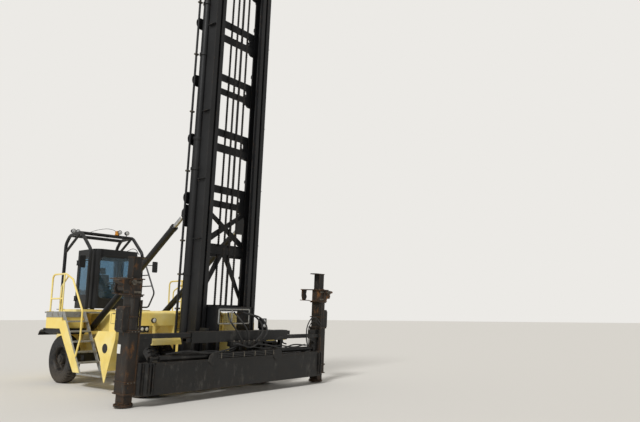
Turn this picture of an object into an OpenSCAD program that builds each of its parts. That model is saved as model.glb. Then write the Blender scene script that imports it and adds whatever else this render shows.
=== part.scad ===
// Empty container handler: a tall two-stage mast with a side-lift spreader
// on a four-wheeled chassis. Millimetres, +Z up, the spreader points to -Y.
// Places along Y are measured from the front face of the spreader's posts.

/* [Wheels] */
// Outside diameter of every tyre, to the tips of its lugs
tyre_d = 1230; // [1100:10:1300]
// Width of one tyre
tyre_w = 315; // [260:5:340]
// Diameter of the rims
rim_d = 620; // [560:10:680]
// Distance between the drive axle and the steer axle
wheelbase = 3900; // [3700:50:4200]
// Width over the twin drive tyres
drive_w = 4100; // [4000:10:4200]
// Width over the steer tyres
steer_w = 3580; // [3500:10:3640]
// Gap between twin tyres
twin_gap = 60; // [40:5:90]

/* [Mast] */
// Forward lean of the parked mast, in degrees
lean = 2.5; // [0:0.5:3]
// Height of the outer mast's rails above their foot
rail_h = 10400; // [9600:100:11000]
// Width over the outer mast's rails
mast_w = 1800; // [1700:10:1840]
// Depth of the outer rails, front to back
rail_depth = 320; // [300:10:340]
// Width of one outer rail
rail_face = 260; // [240:10:280]
// Thickness of the rails' webs and flanges
rail_wall = 40; // [35:5:45]
// Outside diameter of the lift cylinders at their foot
lift_d = 230; // [220:5:240]
// Lift stroke of the inner mast
lift_stroke = 8200; // [7000:100:8300]
// Outside diameter of the tilt cylinders
tilt_d = 170; // [140:5:190]

/* [Spreader] */
// Width over the posts, the length of a twenty foot container
spread_w = 6060; // [5900:10:6200]
// Width of a post, along the spreader
post_w = 250; // [220:5:270]
// Depth of a post, front to back
post_depth = 380; // [340:10:420]
// Height of the twistlock heads above the posts' feet
head_h = 2430; // [2300:10:2500]
// Gap between the main beam's end and a post
beam_gap = 280; // [250:5:320]
// Height of the main beam
beam_h = 620; // [580:10:640]
// Depth of the main beam, front to back
beam_depth = 390; // [360:10:400]
// Plate thickness of the main beam
beam_wall = 16; // [10:1:20]

/* [Chassis] */
// Width over the chassis plates
frame_w = 1240; // [1160:10:1280]
// Thickness of the chassis plates
frame_wall = 60; // [40:5:70]
// Height of the chassis plates' top edge
frame_top = 1330; // [1280:10:1380]
// Width of the counterweight
weight_w = 2440; // [2300:20:2500]
// Width over the side steps and decks
side_w = 3900; // [3800:20:3960]
// Height of the walking decks
deck_z = 1850; // [1800:10:1900]

/* [Cab] */
// Width of the cab
cab_w = 1460; // [1380:10:1500]
// Length of the cab, front to back
cab_l = 1100; // [1050:10:1150]
// Height of the cab's roof above the ground
cab_top = 3680; // [3600:10:3760]
// Wall thickness of the cab
cab_wall = 45; // [35:5:60]
// Diameter of the guard frame's tube
guard_d = 100; // [76:2:114]

/* [Hidden] */

yellow = "#f0d060";
black = "#1c1d1f";
grey = "#8d9092";
chrome = "#c9ccd0";
rubber = "#2b2b2c";
white = "#f2f2ee";

// Clearance between pieces that slide or turn on each other
run = 10;
// Clearance of a rod or pin in its bore
slip = 0.5;
// Gap between pieces of one body that only sit beside each other
seat = 0.3;

tyre_r = tyre_d / 2;
rim_r = rim_d / 2;

// The mast turns on the drive axle
drive_y = 1050;
axle_z = tyre_r;
steer_y = drive_y + wheelbase;
housing_r = 170;
spindle_r = 90;
kingpin_x = steer_w / 2 - tyre_w - 145;

// Mast section, before it leans
mast_front = 480;
mast_back = mast_front + rail_depth;
mast_out = mast_w / 2;
mast_in = mast_out - rail_face;
rail_foot = 380;
// Front flange of an outer rail, inwards and outwards of its web
lip_in = 95;
lip_out = 20;
rail_top = rail_foot + rail_h;
// Inner rails ride inside the outer channels
inner_out = mast_out - rail_wall - run;
inner_in = inner_out - rail_face + run;
inner_front = mast_front + rail_wall + run;
inner_back = mast_back - rail_wall - run;
inner_wall = rail_wall - run;
inner_top = rail_top + 80;
lift_x = mast_out - 10;
lift_y = mast_back + lift_d / 2 + 10;
lift_foot = axle_z + housing_r + 115;
lift_head = rail_top - 260;
// The lift barrel narrows half way up
lift_step = 6040;
lift_neck_r = lift_d / 2 - 15;
lift_rod_r = 65;
// Oil pipe along the lift cylinder's outer side
pipe_r = 28;
pipe_x = lift_x + 158;
pipe_y = lift_y + lift_d / 2;
head_z = inner_top + 20;
sheave_r = 100;
sheave_z = inner_top - 150;
chain_x = 175;
chain_front = inner_front + 8;
sheave_y = chain_front + 12 + sheave_r;

// Tilt cylinders, from a chassis pin to a pin on the mast
tilt_x = 955;
tilt_pin = [steer_y - 50, 1400];
tilt_eye = [1130, 4180];
tilt_rod_r = 55;

// Spreader, before it leans
foot_z = 75;
post_front = -160;
post_top = foot_z + 2120;
post_in = spread_w / 2 - post_w;
beam_front = -340;
beam_back = beam_front + beam_depth;
beam_z = 275;
beam_top = beam_z + beam_h;
beam_end = post_in - beam_gap;
arm_clear = 8;
arm_reach = 3065;
arm_overlap = 700;
end_x = beam_end + run;
head_z0 = foot_z + head_h;
// The arms' upper slide tubes, one above the other
slide_y = -130;
slide_depth = 150;
slide_z_l = beam_top + 350;
slide_z_r = slide_z_l + 105;
slide_h = 90;
slide_wall = 14;
slide_back = slide_y + slide_depth + slide_wall + 4;

tow_pin_r = 32;
weight_front = 5760;
weight_back = 7120;
cab_front = 5350;
cab_floor = 1960;
deck_in = 1350;
side_x = side_w / 2;
hood_front = 1420;
hood_half = 800;

// Where the whole machine's box has its middle along Y
box_front = drive_y + (beam_front - drive_y) * cos(lean) - (beam_top - axle_z) * sin(lean);
mid_y = (box_front + weight_back) / 2;

// Tools for shapes

// A block between two corners
module block(x0, x1, y0, y1, z0, z1) {
    translate([x0, y0, z0]) cube([x1 - x0, y1 - y0, z1 - z0]);
}

// A profile drawn in Y and Z, extruded along X
module along_x(x0, x1) {
    translate([x0, 0, 0]) rotate([90, 0, 90]) linear_extrude(x1 - x0) children();
}

// A profile drawn in X and Z, extruded along Y
module along_y(y0, y1) {
    translate([0, y1, 0]) rotate([90, 0, 0]) linear_extrude(y1 - y0) children();
}

// Round bars along each axis
module bar_x(r, x0, x1, y, z, fn = 32) {
    translate([x0, y, z]) rotate([0, 90, 0]) cylinder(r = r, h = x1 - x0, $fn = fn);
}

module bar_y(r, y0, y1, x, z, fn = 32) {
    translate([x, y0, z]) rotate([-90, 0, 0]) cylinder(r = r, h = y1 - y0, $fn = fn);
}

module bar_z(r, z0, z1, x, y, fn = 32) {
    translate([x, y, z0]) cylinder(r = r, h = z1 - z0, $fn = fn);
}

// A round bar between two points
module rod(a, b, r, fn = 16) {
    d = b - a;
    translate(a)
        rotate([0, acos(d.z / norm(d)), atan2(d.y, d.x)])
            cylinder(r = r, h = norm(d), $fn = fn);
}

function unit(v) = v / norm(v);

// Points of the arc that rounds the bend at b
function bend_arc(a, b, c, r, n) =
    let (u = unit(a - b), w = unit(c - b), half = acos(u * w) / 2)
    let (m = b + unit(u + w) * r / sin(half))
    let (e = unit(b + u * r / tan(half) - m), far = b + w * r / tan(half) - m)
    let (f = unit(far - e * (far * e)))
    [for (i = [0 : n]) m + r * (e * cos((180 - 2 * half) * i / n) + f * sin((180 - 2 * half) * i / n))];

function bent_path(points, r, n = 4) = [
    points[0],
    for (i = [1 : 1 : len(points) - 2])
        each bend_arc(points[i - 1], points[i], points[i + 1], r, n),
    points[len(points) - 1]
];

// One side vector for each point of a path, turned as little as possible
function side_vectors(path, i = 0, last = [0.31, 0.94, 0.13]) =
    i == len(path) ? [] :
    let (t = unit(path[min(i + 1, len(path) - 1)] - path[max(i - 1, 0)]))
    let (s = unit(last - t * (last * t)))
    concat([[s, cross(t, s)]], side_vectors(path, i + 1, s));

// Tube bent through a list of points, as one swept skin
module bent_tube(points, r, bend = 120, sides = 10) {
    path = bent_path(points, bend);
    frames = side_vectors(path);
    rings = len(path);
    skin = [for (i = [0 : rings - 1], k = [0 : sides - 1])
        path[i] + r * (frames[i][0] * cos(360 * k / sides) + frames[i][1] * sin(360 * k / sides))];
    walls = [for (i = [0 : rings - 2], k = [0 : sides - 1])
        let (a = i * sides + k, b = i * sides + (k + 1) % sides)
        each [[a, a + sides, b], [b, a + sides, b + sides]]];
    caps = [
        [for (k = [0 : sides - 1]) k],
        [for (k = [sides - 1 : -1 : 0]) (rings - 1) * sides + k]
    ];
    polyhedron(skin, concat(walls, caps));
}

// Arc that rounds the corner b between a and c
function corner(a, b, c, r, n = 5) =
    let (u = unit(a - b), w = unit(c - b), half = acos(u * w) / 2)
    let (p = b + u * r / tan(half), m = b + unit(u + w) * r / sin(half))
    let (start = atan2(p.y - m.y, p.x - m.x))
    let (turn = (180 - 2 * half) * sign(u.x * w.y - u.y * w.x))
    [for (i = [0 : n]) m + r * [cos(start - turn * i / n), sin(start - turn * i / n)]];

// Outline with every corner rounded by its own radius
function rounded(points, radii, n = 5) =
    let (k = len(points))
    [for (i = [0 : k - 1])
        let (r = is_list(radii) ? radii[i] : radii)
        each (r > 0
            ? corner(points[(i + k - 1) % k], points[i], points[(i + 1) % k], r, n)
            : [points[i]])];

function rect(x0, x1, y0, y1) = [[x0, y0], [x1, y0], [x1, y1], [x0, y1]];

module both_sides() {
    children();
    mirror([1, 0, 0]) children();
}

// The finished machine's frame, with its origin under the middle of its box
module in_frame() {
    translate([0, -mid_y, 0]) children();
}

// What leans with the mast about the drive axle
module leaned() {
    in_frame()
        translate([0, drive_y, axle_z])
            rotate([lean, 0, 0])
                translate([0, -drive_y, -axle_z])
                    children();
}

// Wheels

tyre_lugs = 20;
lug_h = 24;

// Radius of the bead, so that its flats clear the round rim
bead_r = (rim_r + seat) / cos(72 / tyre_lugs);

// A tyre's section, each point as its radius and its place along the axle
function tyre_section(r) = [
    [bead_r, tyre_w - 34], [bead_r, 34], [tyre_r * 0.78, 0],
    [r, 42], [r, tyre_w - 42], [tyre_r * 0.78, tyre_w]
];

// One skin, with a station at each foot and each top of a lug's two flanks
module tyre(x0) {
    n = len(tyre_section(0));
    step = 360 / tyre_lugs;
    // Where the stations lie in a step, and whether each is on top of the lug
    stations = [for (i = [0 : tyre_lugs - 1], s = [[0, 0], [0.1, 1], [0.5, 1], [0.6, 0]])
        [step * (i + s[0]), s[1]]];
    skin = [for (s = stations, p = tyre_section(tyre_r - lug_h * (1 - s[1])))
        [x0 + p[1], p[0] * sin(s[0]), p[0] * cos(s[0])]];
    total = len(skin);
    walls = [for (i = [0 : len(stations) - 1], k = [0 : n - 1])
        let (a = i * n + k, b = i * n + (k + 1) % n)
        each [[a, (a + n) % total, b], [b, (a + n) % total, (b + n) % total]]];
    polyhedron(skin, walls);
}

// A rim with its dished disc; the disc lies towards its outer end
module rim(x0, dish) {
    wall = 18;
    disc = 24;
    translate([x0, 0, 0]) rotate([0, 90, 0])
        difference() {
            union() {
                rotate_extrude($fn = 48)
                    polygon([
                        [rim_r - wall, 30], [rim_r - 4, 22], [rim_r, 30],
                        [rim_r, tyre_w - 30], [rim_r - 4, tyre_w - 22], [rim_r - wall, tyre_w - 30]
                    ]);
                rotate_extrude($fn = 48)
                    polygon([
                        [spindle_r, dish], [rim_r - 60, dish], [rim_r - wall / 2, dish - 24],
                        [rim_r - wall / 2, dish + 2], [rim_r - 64, dish + disc], [spindle_r, dish + disc]
                    ]);
                // Wheel nuts
                for (i = [0 : 9])
                    rotate([0, 0, 36 * i]) translate([185, 0, dish - 1])
                        cylinder(r = 20, h = disc + 22, $fn = 6);
            }
            translate([0, 0, dish - 1])
                cylinder(r = spindle_r + slip, h = disc + 2, $fn = 32);
        }
}

// Twin wheels of one side, as if the axle were at the origin
drive_x1 = drive_w / 2 - tyre_w;
drive_x0 = drive_x1 - twin_gap - tyre_w;

module drive_tyres() {
    color(rubber) {
        tyre(drive_x0);
        tyre(drive_x1);
    }
}

module drive_rims() {
    hub_end = drive_x1 + 120;
    color(rubber) {
        rim(drive_x0, tyre_w - 60);
        rim(drive_x1, 36);
        difference() {
            bar_x(150, drive_x0 + tyre_w - 40, hub_end, 0, 0, 40);
            bar_x(spindle_r + slip, drive_x0, hub_end - 30, 0, 0);
        }
        bar_x(spindle_r - 20, hub_end, hub_end + 40, 0, 0, 24);
    }
}

module steer_tyre() {
    color(rubber) tyre(steer_w / 2 - tyre_w);
}

module steer_rim() {
    x0 = steer_w / 2 - tyre_w;
    color(rubber) {
        rim(x0, 150);
        difference() {
            bar_x(140, x0 + 80, x0 + 240, 0, 0, 40);
            bar_x(spindle_r - 20 + slip, x0, x0 + 210, 0, 0);
        }
        bar_x(60, x0 + 240, x0 + 275, 0, 0, 24);
    }
}

module at_drive_axle() in_frame() translate([0, drive_y, axle_z]) children();
module at_steer_axle() in_frame() translate([0, steer_y, axle_z]) children();

// Steering knuckle: a kingpin barrel between the axle's jaws, with the stub axle
pivot_half = 260;
knuckle_h = 150;
kingpin_r = 40;
module knuckle() {
    stub_end = steer_w / 2 - tyre_w + 200;
    color(black) difference() {
        union() {
            bar_z(78, -knuckle_h / 2, knuckle_h / 2, kingpin_x, 0);
            bar_x(spindle_r - 20, kingpin_x, stub_end, 0, 0);
            block(kingpin_x - 40, kingpin_x + 40, -220, 0, -25, 25);
        }
        bar_z(kingpin_r + slip, -knuckle_h, knuckle_h, kingpin_x, 0);
    }
}

// Chassis

module steer_axle() {
    jaw = 40;
    color(black) at_steer_axle() {
        difference() {
            union() {
                along_y(-90, 90) polygon(rounded([
                    [-kingpin_x - 60, 70], [-kingpin_x - 60, 125], [-700, 150], [700, 150],
                    [kingpin_x + 60, 125], [kingpin_x + 60, -125], [700, -110], [-700, -110],
                    [-kingpin_x - 60, -125]
                ], 0));
            }
            both_sides()
                block(kingpin_x - 190, kingpin_x + 200, -200, 200, -knuckle_h / 2 - 5, knuckle_h / 2 + 5);
        }
        both_sides() bar_z(kingpin_r, -knuckle_h / 2 - 5, knuckle_h / 2 + 5, kingpin_x, 0);
        // Pivot block that carries the frame
        bar_y(130, -pivot_half, pivot_half, 0, 60);
    }
}

module drive_axle() {
    brake_x = 1010;
    color(black) at_drive_axle() {
        bar_x(housing_r, -brake_x, brake_x, 0, 0, 48);
        rotate([-90, 0, 0]) translate([0, 0, -140]) cylinder(r1 = 200, r2 = 265, h = 400, $fn = 40);
        both_sides() {
            bar_x(housing_r + 45, brake_x, drive_x0 - run, 0, 0, 40);
            bar_x(spindle_r, drive_x0 - run - 1, drive_x1 + 80, 0, 0);
        }
    }
}

module frame_plate() {
    difference() {
        polygon(rounded([
            [905, 430], [1400, 430], [1700, 520], [4250, 520], [4520, 860], [5300, 860],
            [5560, 620], [6300, 620], [6300, frame_top], [1300, frame_top], [905, 1000]
        ], [40, 60, 80, 80, 60, 60, 60, 60, 40, 60, 40]));
        // Saddle on the axle housing
        translate([drive_y, axle_z]) circle(r = housing_r + seat, $fn = 48);
    }
}

module chassis_frame() {
    out = frame_w / 2;
    in = out - frame_wall;
    color(yellow) in_frame() {
        both_sides() along_x(in, out) frame_plate();
        // Cross boxes between the plates, [front, back, bottom, top]
        for (box = [[1290, 1450, 900, 1290], [2050, 2170, 560, 700], [4150, 4300, 560, 1290],
                    [5560, 6240, 900, 1290]])
            block(-in, in, box[0], box[1], box[2], box[3]);
        // Walls that carry the steer axle's pivot
        for (y = [steer_y - 330, steer_y + pivot_half + seat]) {
            block(-in, in, y, y + 70 - seat, 870, 1290);
            block(-220, 220, y, y + 70 - seat, axle_z - 110, 871);
        }
        // Outriggers under the side boxes and decks
        both_sides() for (at = [[2250, 1120], [2750, 1120], [4560, 1250]])
            block(out - 1, deck_in - seat, at[0], at[0] + 120, at[1], at[1] + 80);
        both_sides() tilt_bracket();
    }
}

// Two ears for a tilt cylinder's pin
module tilt_bracket() {
    ear = 30;
    gap = tilt_d / 2 + 16;
    out = frame_w / 2;
    for (x = [tilt_x - gap - ear, tilt_x + gap])
        along_x(x, x + ear) difference() {
            polygon(rounded([
                [tilt_pin.x - 200, 1150], [tilt_pin.x - 90, tilt_pin.y + 90],
                [tilt_pin.x + 90, tilt_pin.y + 90], [tilt_pin.x + 200, 1150]
            ], [10, 80, 80, 10]));
        }
    block(out, tilt_x + gap + ear, tilt_pin.x - 200, tilt_pin.x + 200, 1080, 1150);
    bar_x(40, tilt_x - gap - 1, tilt_x + gap + 1, tilt_pin.x, tilt_pin.y);
}

// Outline from above, with tapered rear corners
module weight_plan(front) {
    half = weight_w / 2;
    polygon(rounded([
        [-half, front], [half, front], [half, 6200], [half - 330, weight_back - 110],
        [half - 560, weight_back], [560 - half, weight_back], [330 - half, weight_back - 110],
        [-half, 6200]
    ], [40, 40, 300, 160, 160, 160, 160, 300]));
}

module counterweight() {
    color(yellow) in_frame() difference() {
        union() {
            translate([0, 0, 1340])
                linear_extrude(cab_floor - 1340 - 40) weight_plan(weight_front - 400);
            translate([0, 0, 560])
                linear_extrude(781) weight_plan(weight_front);
        }
        // Pocket for the chassis plates
        block(-frame_w / 2 - seat, frame_w / 2 + seat, weight_front - 400, 6300 + seat,
            500, frame_top + seat);
        // Slot for a drawbar, the hand space above it, and the bore of the tow pin
        block(-90, 90, weight_back - 180, weight_back + 20, 760, 900);
        block(-90, 90, weight_back - 180, weight_back + 20, 980, 1300);
        bar_z(tow_pin_r, 500, 1000, 0, weight_back - 90);
    }
}

module engine_block() {
    inside = frame_w / 2 - frame_wall - seat;
    color(grey) in_frame() {
        block(-390, 390, 2300, 4000, 720, 1420);
        // Feet on the chassis plates
        for (y = [2500, 3700])
            block(-inside, inside, y, y + 100, 719, 790);
    }
}

module hood() {
    half = hood_half;
    color(yellow) in_frame() difference() {
        along_y(hood_front, 5250) polygon(rounded([
            [-half, frame_top + seat], [-half, deck_z - 60], [-half + 160, deck_z + 20],
            [half - 160, deck_z + 20], [half, deck_z - 60], [half, frame_top + seat]
        ], [0, 60, 80, 80, 60, 0]));
        along_y(hood_front - 10, 5220) polygon(rounded([
            [-half + 30, frame_top - 10], [-half + 30, deck_z - 90], [-half + 170, deck_z - 12],
            [half - 170, deck_z - 12], [half - 30, deck_z - 90], [half - 30, frame_top - 10]
        ], [0, 40, 60, 60, 40, 0]));
        // Louvres in both flanks
        for (y = [2700, 3500], i = [0 : 4])
            along_y(y, y + 560) {
                for (side = [-1, 1])
                    translate([side * (half - 15), 1420 + 62 * i])
                        rotate(side * 20) square([90, 16], center = true);
            }
    }
    color(grey) in_frame() radiator_guard();
}

// Framed grille in the hood's open front
module radiator_guard() {
    side = hood_half - 90;
    y = hood_front + 40;
    difference() {
        block(-side, side, y, y + 30, frame_top + 20, deck_z - 80);
        for (x = [-side + 40, 20])
            block(x, x + side - 60, y - 1, y + 31, frame_top + 60, deck_z - 120);
    }
    for (i = [1 : 8])
        bar_x(7, -side + 30, side - 30, y + 15, frame_top + 60 + i * 38, 8);
    block(-side, side, y + 10, y + 30, frame_top + seat, frame_top + 21);
    both_sides() block(side - 1, hood_half - 29, y, y + 30, 1500, 1560);
}

module side_boxes() {
    out = side_x - 50;
    color(yellow) in_frame() both_sides() {
        // Wide box behind the drive wheel
        along_x(hood_half + seat, out - 30) polygon(rounded([
            [hood_front, 1520], [hood_front, deck_z - 20], [2480, deck_z - 20], [2480, 1380],
            [2100, 1380], [1900, 1520]
        ], [0, 40, 20, 0, 0, 0]));
        // Tank with its slanted outline, and the hanger of the lowest step
        along_x(deck_in, out) polygon(rounded([
            [2120, 1380 - seat], [2140, 1180], [2400, 460], [2650, 460], [2740, 750], [3050, 1200],
            [2900, 1380 - seat]
        ], [0, 40, 60, 40, 40, 40, 0]));
        along_x(out - 12, out) polygon([[2390, 470], [2490, 200], [2520, 200], [2660, 500]]);
        along_x(deck_in, deck_in + 12) polygon([[2390, 470], [2490, 200], [2520, 200], [2660, 500]]);
    }
}

deck_front = 4640;
stair_foot = [3560, 340];
stair_slope = 1.44;
stair_half = 72;
stair_out = side_x;
stair_in = deck_in + 20;

// A stair stringer's side, with its level foot and its upright end at the deck
module stringer() {
    run_y = deck_front - seat - stair_foot.x;
    polygon([
        stair_foot + [-stair_half, 0], stair_foot + [stair_half, 0],
        stair_foot + [run_y, (run_y - stair_half) * stair_slope],
        [deck_front - seat, deck_z],
        [stair_foot.x - stair_half + (deck_z - stair_foot.y) / stair_slope, deck_z]
    ]);
}

module stairs() {
    treads = 5;
    rise = (deck_z - stair_foot.y) / (treads + 1);
    color(grey) in_frame() both_sides() {
        for (x = [stair_in, stair_out - 12])
            along_x(x, x + 12) stringer();
        for (i = [1 : treads])
            translate([0, stair_foot.x + rise * i / stair_slope, stair_foot.y + rise * i])
                block(stair_in + 11, stair_out - 11, -110, 110, -24, 6);
        // Bottom platform
        block(stair_in, stair_out, 2600, 3700, 310, 350);
        // Deck plates, with a skirt along their edge
        block(hood_half + seat, side_x + 10, deck_front - 10, weight_front - 400 - seat,
            deck_z - deck_t, deck_z);
        block(weight_w / 2 + seat, side_x + 10, weight_front - 401, 5600, deck_z - deck_t, deck_z);
        block(side_x + seat, side_x + 10, deck_front - 10, 5500, deck_z - 150, deck_z - deck_t + 1);
        block(deck_in, side_x + 10, deck_front - 10, deck_front - seat, deck_z - 150, deck_z - deck_t + 1);
    }
}

deck_t = 40;

module rear_decks() {
    color(yellow) in_frame() both_sides() {
        along_x(deck_in, side_x) polygon(rounded(
            rect(deck_front, 5500, 1410, deck_z - deck_t - seat), 20));
        // Panel outside the stringer, from the bottom platform up to the deck
        along_x(side_x + seat, side_x + 12) polygon(rounded([
            stair_foot + [-10, 20], stair_foot + [300, 20], [deck_front + 60, 1405],
            [deck_front + 60, 1620], [stair_foot.x - 10 + 1280 / stair_slope, 1620]
        ], [0, 60, 60, 20, 60]));
    }
}

// Arch over the steer wheel, with its flap at the rear
module wheel_arches() {
    color(black) in_frame() both_sides() {
        along_x(deck_in, side_x - 60) difference() {
            polygon([[4480, 1410 - seat], [4480, 1340], [4560, 1258], [5380, 1258], [5640, 1300],
                [5760, 1340], [5760, 1410 - seat]]);
            translate([steer_y, axle_z]) circle(r = tyre_r + 75, $fn = 64);
        }
        along_x(deck_in + 60, side_x - 20) polygon(rounded([
            [5640, 1345], [5760, 1345], [5880, 1300], [5930, 1215], [5950, 1225], [5900, 1325],
            [5770, 1375], [5640, 1375]], [0, 60, 60, 8, 8, 80, 60, 0]));
    }
}

rail_r = 24;
module handrails() {
    x = side_x - 40;
    color(yellow) in_frame() both_sides() {
        bent_tube([[x, 5400, deck_z + seat], [x, 5400, 2840],
            [x, 4700, 2840], [x, 4300, 2680], [x, 3700, 1860], [x, 3710, 1170],
            [side_x + rail_r + seat, 3760, 740]], rail_r);
        bar_y(rail_r - 2, 4760, 5395, x, 2190, 16);
        bar_z(rail_r - 2, deck_z + seat, 2835, x, 4760, 16);
        // Inner rail, bent forward to the sloping one
        bent_tube([[x - 90, 5060, deck_z + seat], [x - 90, 5060, 2520], [x - 20, 4600, 2770]],
            rail_r - 3, 120, 8);
    }
}

fender_z = 1312;
fender_t = 14;

module front_fenders() {
    in = drive_x0 - 40;
    out = drive_w / 2 + 15;
    low = fender_z - fender_t;
    color(yellow) in_frame() both_sides() {
        along_x(in, out) polygon(rounded([
            [400, 1130], [430, 1240], [540, fender_z], [hood_front - seat, fender_z],
            [hood_front - seat, low], [546, low], [444, 1232], [414, 1130]
        ], [0, 60, 60, 0, 0, 50, 50, 0]));
        // Skirt along the outer edge
        along_x(out - 12, out) polygon([
            [413, 1130], [443, 1233], [545, low + 1], [hood_front - seat, low + 1],
            [hood_front - seat, low - 40], [600, low - 40], [500, 1190], [470, 1130]
        ]);
        // Straps up to the side box
        for (x = [[in, in + 70], [side_x - 112, side_x - 80]])
            block(x[0], x[1], hood_front - fender_t, hood_front - seat, low, 1575);
    }
}

// Cab

cab_half = cab_w / 2;
cab_back = cab_front + cab_l;
sill = 2500;
window_top = 3440;

module cab_plan(inset) {
    polygon(rounded(rect(-cab_half + inset, cab_half - inset, cab_front + inset, cab_back - inset),
        [220 - inset, 220 - inset, 90 - inset, 90 - inset]));
}

door_front = cab_front + 240;
door_back = cab_back - 110;
door_z0 = cab_floor + 90;
door_z1 = window_top + 80;
// Upright pins on which a door swings, behind its rear edge
hinge_x = cab_half + 24;
hinge_y = door_back + 22;
hinge_heights = [door_z0 + 150, door_z1 - 260];

module door_outline(inset) {
    polygon(rounded(rect(door_front + inset, door_back - inset, door_z0 + inset, door_z1 - inset), 60));
}

module cab_shell() {
    color(black) in_frame() {
        difference() {
            translate([0, 0, cab_floor]) linear_extrude(cab_top - cab_floor) cab_plan(0);
            translate([0, 0, cab_floor + 60])
                linear_extrude(cab_top - cab_floor - 130) cab_plan(cab_wall);
            // Front and rear windows
            along_y(cab_front - 10, cab_front + 100)
                polygon(rounded(rect(-cab_half + 150, cab_half - 150, sill - 250, window_top), 70));
            along_y(cab_back - 100, cab_back + 10)
                polygon(rounded(rect(-cab_half + 130, cab_half - 130, sill, window_top), 70));
            // Door openings, and the front quarter windows
            along_x(-cab_half - 10, cab_half + 10) door_outline(0);
        }
        // Mounts under the cab's floor
        for (x = [-500, 500], y = [cab_front + 420, cab_back - 150])
            bar_z(60, cab_floor - 40 + seat, cab_floor + 1, x, y);
        // Door hinge pins, each held by a lug above and below the door's knuckle
        both_sides() for (z = hinge_heights) {
            bar_z(10, z - 30, z + 120, hinge_x, hinge_y, 24);
            for (lug = [z - 30, z + 95])
                block(cab_half - 1, hinge_x + 14, hinge_y - 12, hinge_y + 30, lug, lug + 25);
        }
    }
}

module cab_glass() {
    color("#9fb8c4") in_frame() {
        along_y(cab_front + 14, cab_front + 22)
            polygon(rounded(rect(-cab_half + 150 + seat, cab_half - 150 - seat,
                sill - 250 + seat, window_top - seat), 70));
        along_y(cab_back - 22, cab_back - 14)
            polygon(rounded(rect(-cab_half + 130 + seat, cab_half - 130 - seat,
                sill + seat, window_top - seat), 70));
    }
}

module door() {
    color(black) in_frame() along_x(cab_half - cab_wall, cab_half) difference() {
        door_outline(6);
        polygon(rounded(rect(door_front + 80, door_back - 80, sill - 150, door_z1 - 80), 50));
    }
    // Grab handle
    color(black) in_frame()
        bar_z(12, sill + 120, sill + 360, cab_half + 20, door_front + 45);
    color(black) in_frame() for (z = [sill + 120, sill + 340])
        block(cab_half - 5, cab_half + 20, door_front + 33, door_front + 57, z, z + 20);
    // Hinge leaves and knuckles
    color(black) in_frame() for (z = hinge_heights) difference() {
        union() {
            bar_z(20, z, z + 90, hinge_x, hinge_y, 24);
            block(cab_half + 3, hinge_x, door_back - 70, hinge_y, z, z + 90);
            block(cab_half - 1, cab_half + 4, door_back - 70, door_back - 8, z, z + 90);
        }
        bar_z(10 + slip, z - 1, z + 91, hinge_x, hinge_y, 24);
    }
}

module door_glass() {
    color("#9fb8c4") in_frame() along_x(cab_half - 30, cab_half - 22)
        polygon(rounded(rect(door_front + 80 + seat, door_back - 80 - seat,
            sill - 150 + seat, door_z1 - 80 - seat), 50));
}

module cab_interior() {
    floor_z = cab_floor + 60 + seat;
    color(black) in_frame() {
        // Seat on its base
        block(-180, 180, cab_front + 460, cab_front + 820, floor_z, floor_z + 270);
        along_x(-240, 240) polygon(rounded([
            [cab_front + 400, floor_z + 261], [cab_front + 900, floor_z + 261],
            [cab_front + 1000, floor_z + 960], [cab_front + 900, floor_z + 980],
            [cab_front + 800, floor_z + 400], [cab_front + 400, floor_z + 420]
        ], [40, 40, 40, 40, 40, 40]));
        along_x(-130, 130) polygon(rounded([
            [cab_front + 905, floor_z + 1000], [cab_front + 985, floor_z + 980],
            [cab_front + 1010, floor_z + 1180], [cab_front + 930, floor_z + 1190]
        ], 30));
        for (x = [-60, 60])
            rod([x, cab_front + 945, floor_z + 940], [x, cab_front + 962, floor_z + 1040], 9);
        // Steering column and wheel
        block(-70, 70, cab_front + 90, cab_front + 220, floor_z, floor_z + 24);
        rod([0, cab_front + 153, floor_z + 20], [0, cab_front + 260, floor_z + 640], 45);
        translate([0, cab_front + 268, floor_z + 650]) rotate([-20, 0, 0])
            rotate_extrude($fn = 32) translate([185, 0]) circle(r = 16, $fn = 16);
        translate([0, cab_front + 268, floor_z + 650]) rotate([-20, 0, 0])
            block(-180, 180, -22, 22, -8, 8);
        block(280, 460, cab_front + 380, cab_front + 900, floor_z, floor_z + 480);
    }
}

module cab_guard() {
    r = guard_d / 2;
    x = 860;
    foot = cab_floor - 40;
    color(black) in_frame() {
        both_sides() {
            // Front leg, roof rail and rear leg in one bent tube
            bent_tube([[x, 5470, foot + 10], [x, 5440, 3640], [x, 6050, 4200], [x, 6720, 4160],
                [x, 6940, 3900], [x, 6940, foot + 10]], r, 260, 12);
            for (y = [5470, 6940])
                block(x - 85, x + 85, y - 85, y + 85, foot, foot + 20);
            rod([x, 6940, 3640], [x, 6110, 4190], r * 0.8, 24);
        }
        // Cross rails
        for (at = [[6060, 4185], [6700, 4155]])
            bar_x(r, -x, x, at[0], at[1], 24);
        // Loop in front of the left leg, with its rungs
        bent_tube([[x + 40, 5440, 3560], [x + 60, 4780, 2420], [x + 60, 5060, 2000], [x + 40, 5460, 2000]],
            24, 140, 10);
        for (z = [2980, 2640])
            rod([x + 50, 5447, z], [x + 54, 4780 + (z - 2420) * 0.58, z], 16, 12);
        // Mirror arms
        both_sides() rod([x, 5440, 3300], [x + 330, 5240, 3300], 12, 12);
    }
    color(black) in_frame() both_sides()
        along_y(5222, 5246) polygon(rounded(rect(x + 250, x + 430, 3080, 3420), 30));
}

// Round lamp on a short stalk, looking forward
module lamp(x, y, z) {
    bar_z(14, z + seat, z + 40, x, y, 16);
    bar_y(60, y - 45, y + 30, x, z + 95, 24);
}

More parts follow.
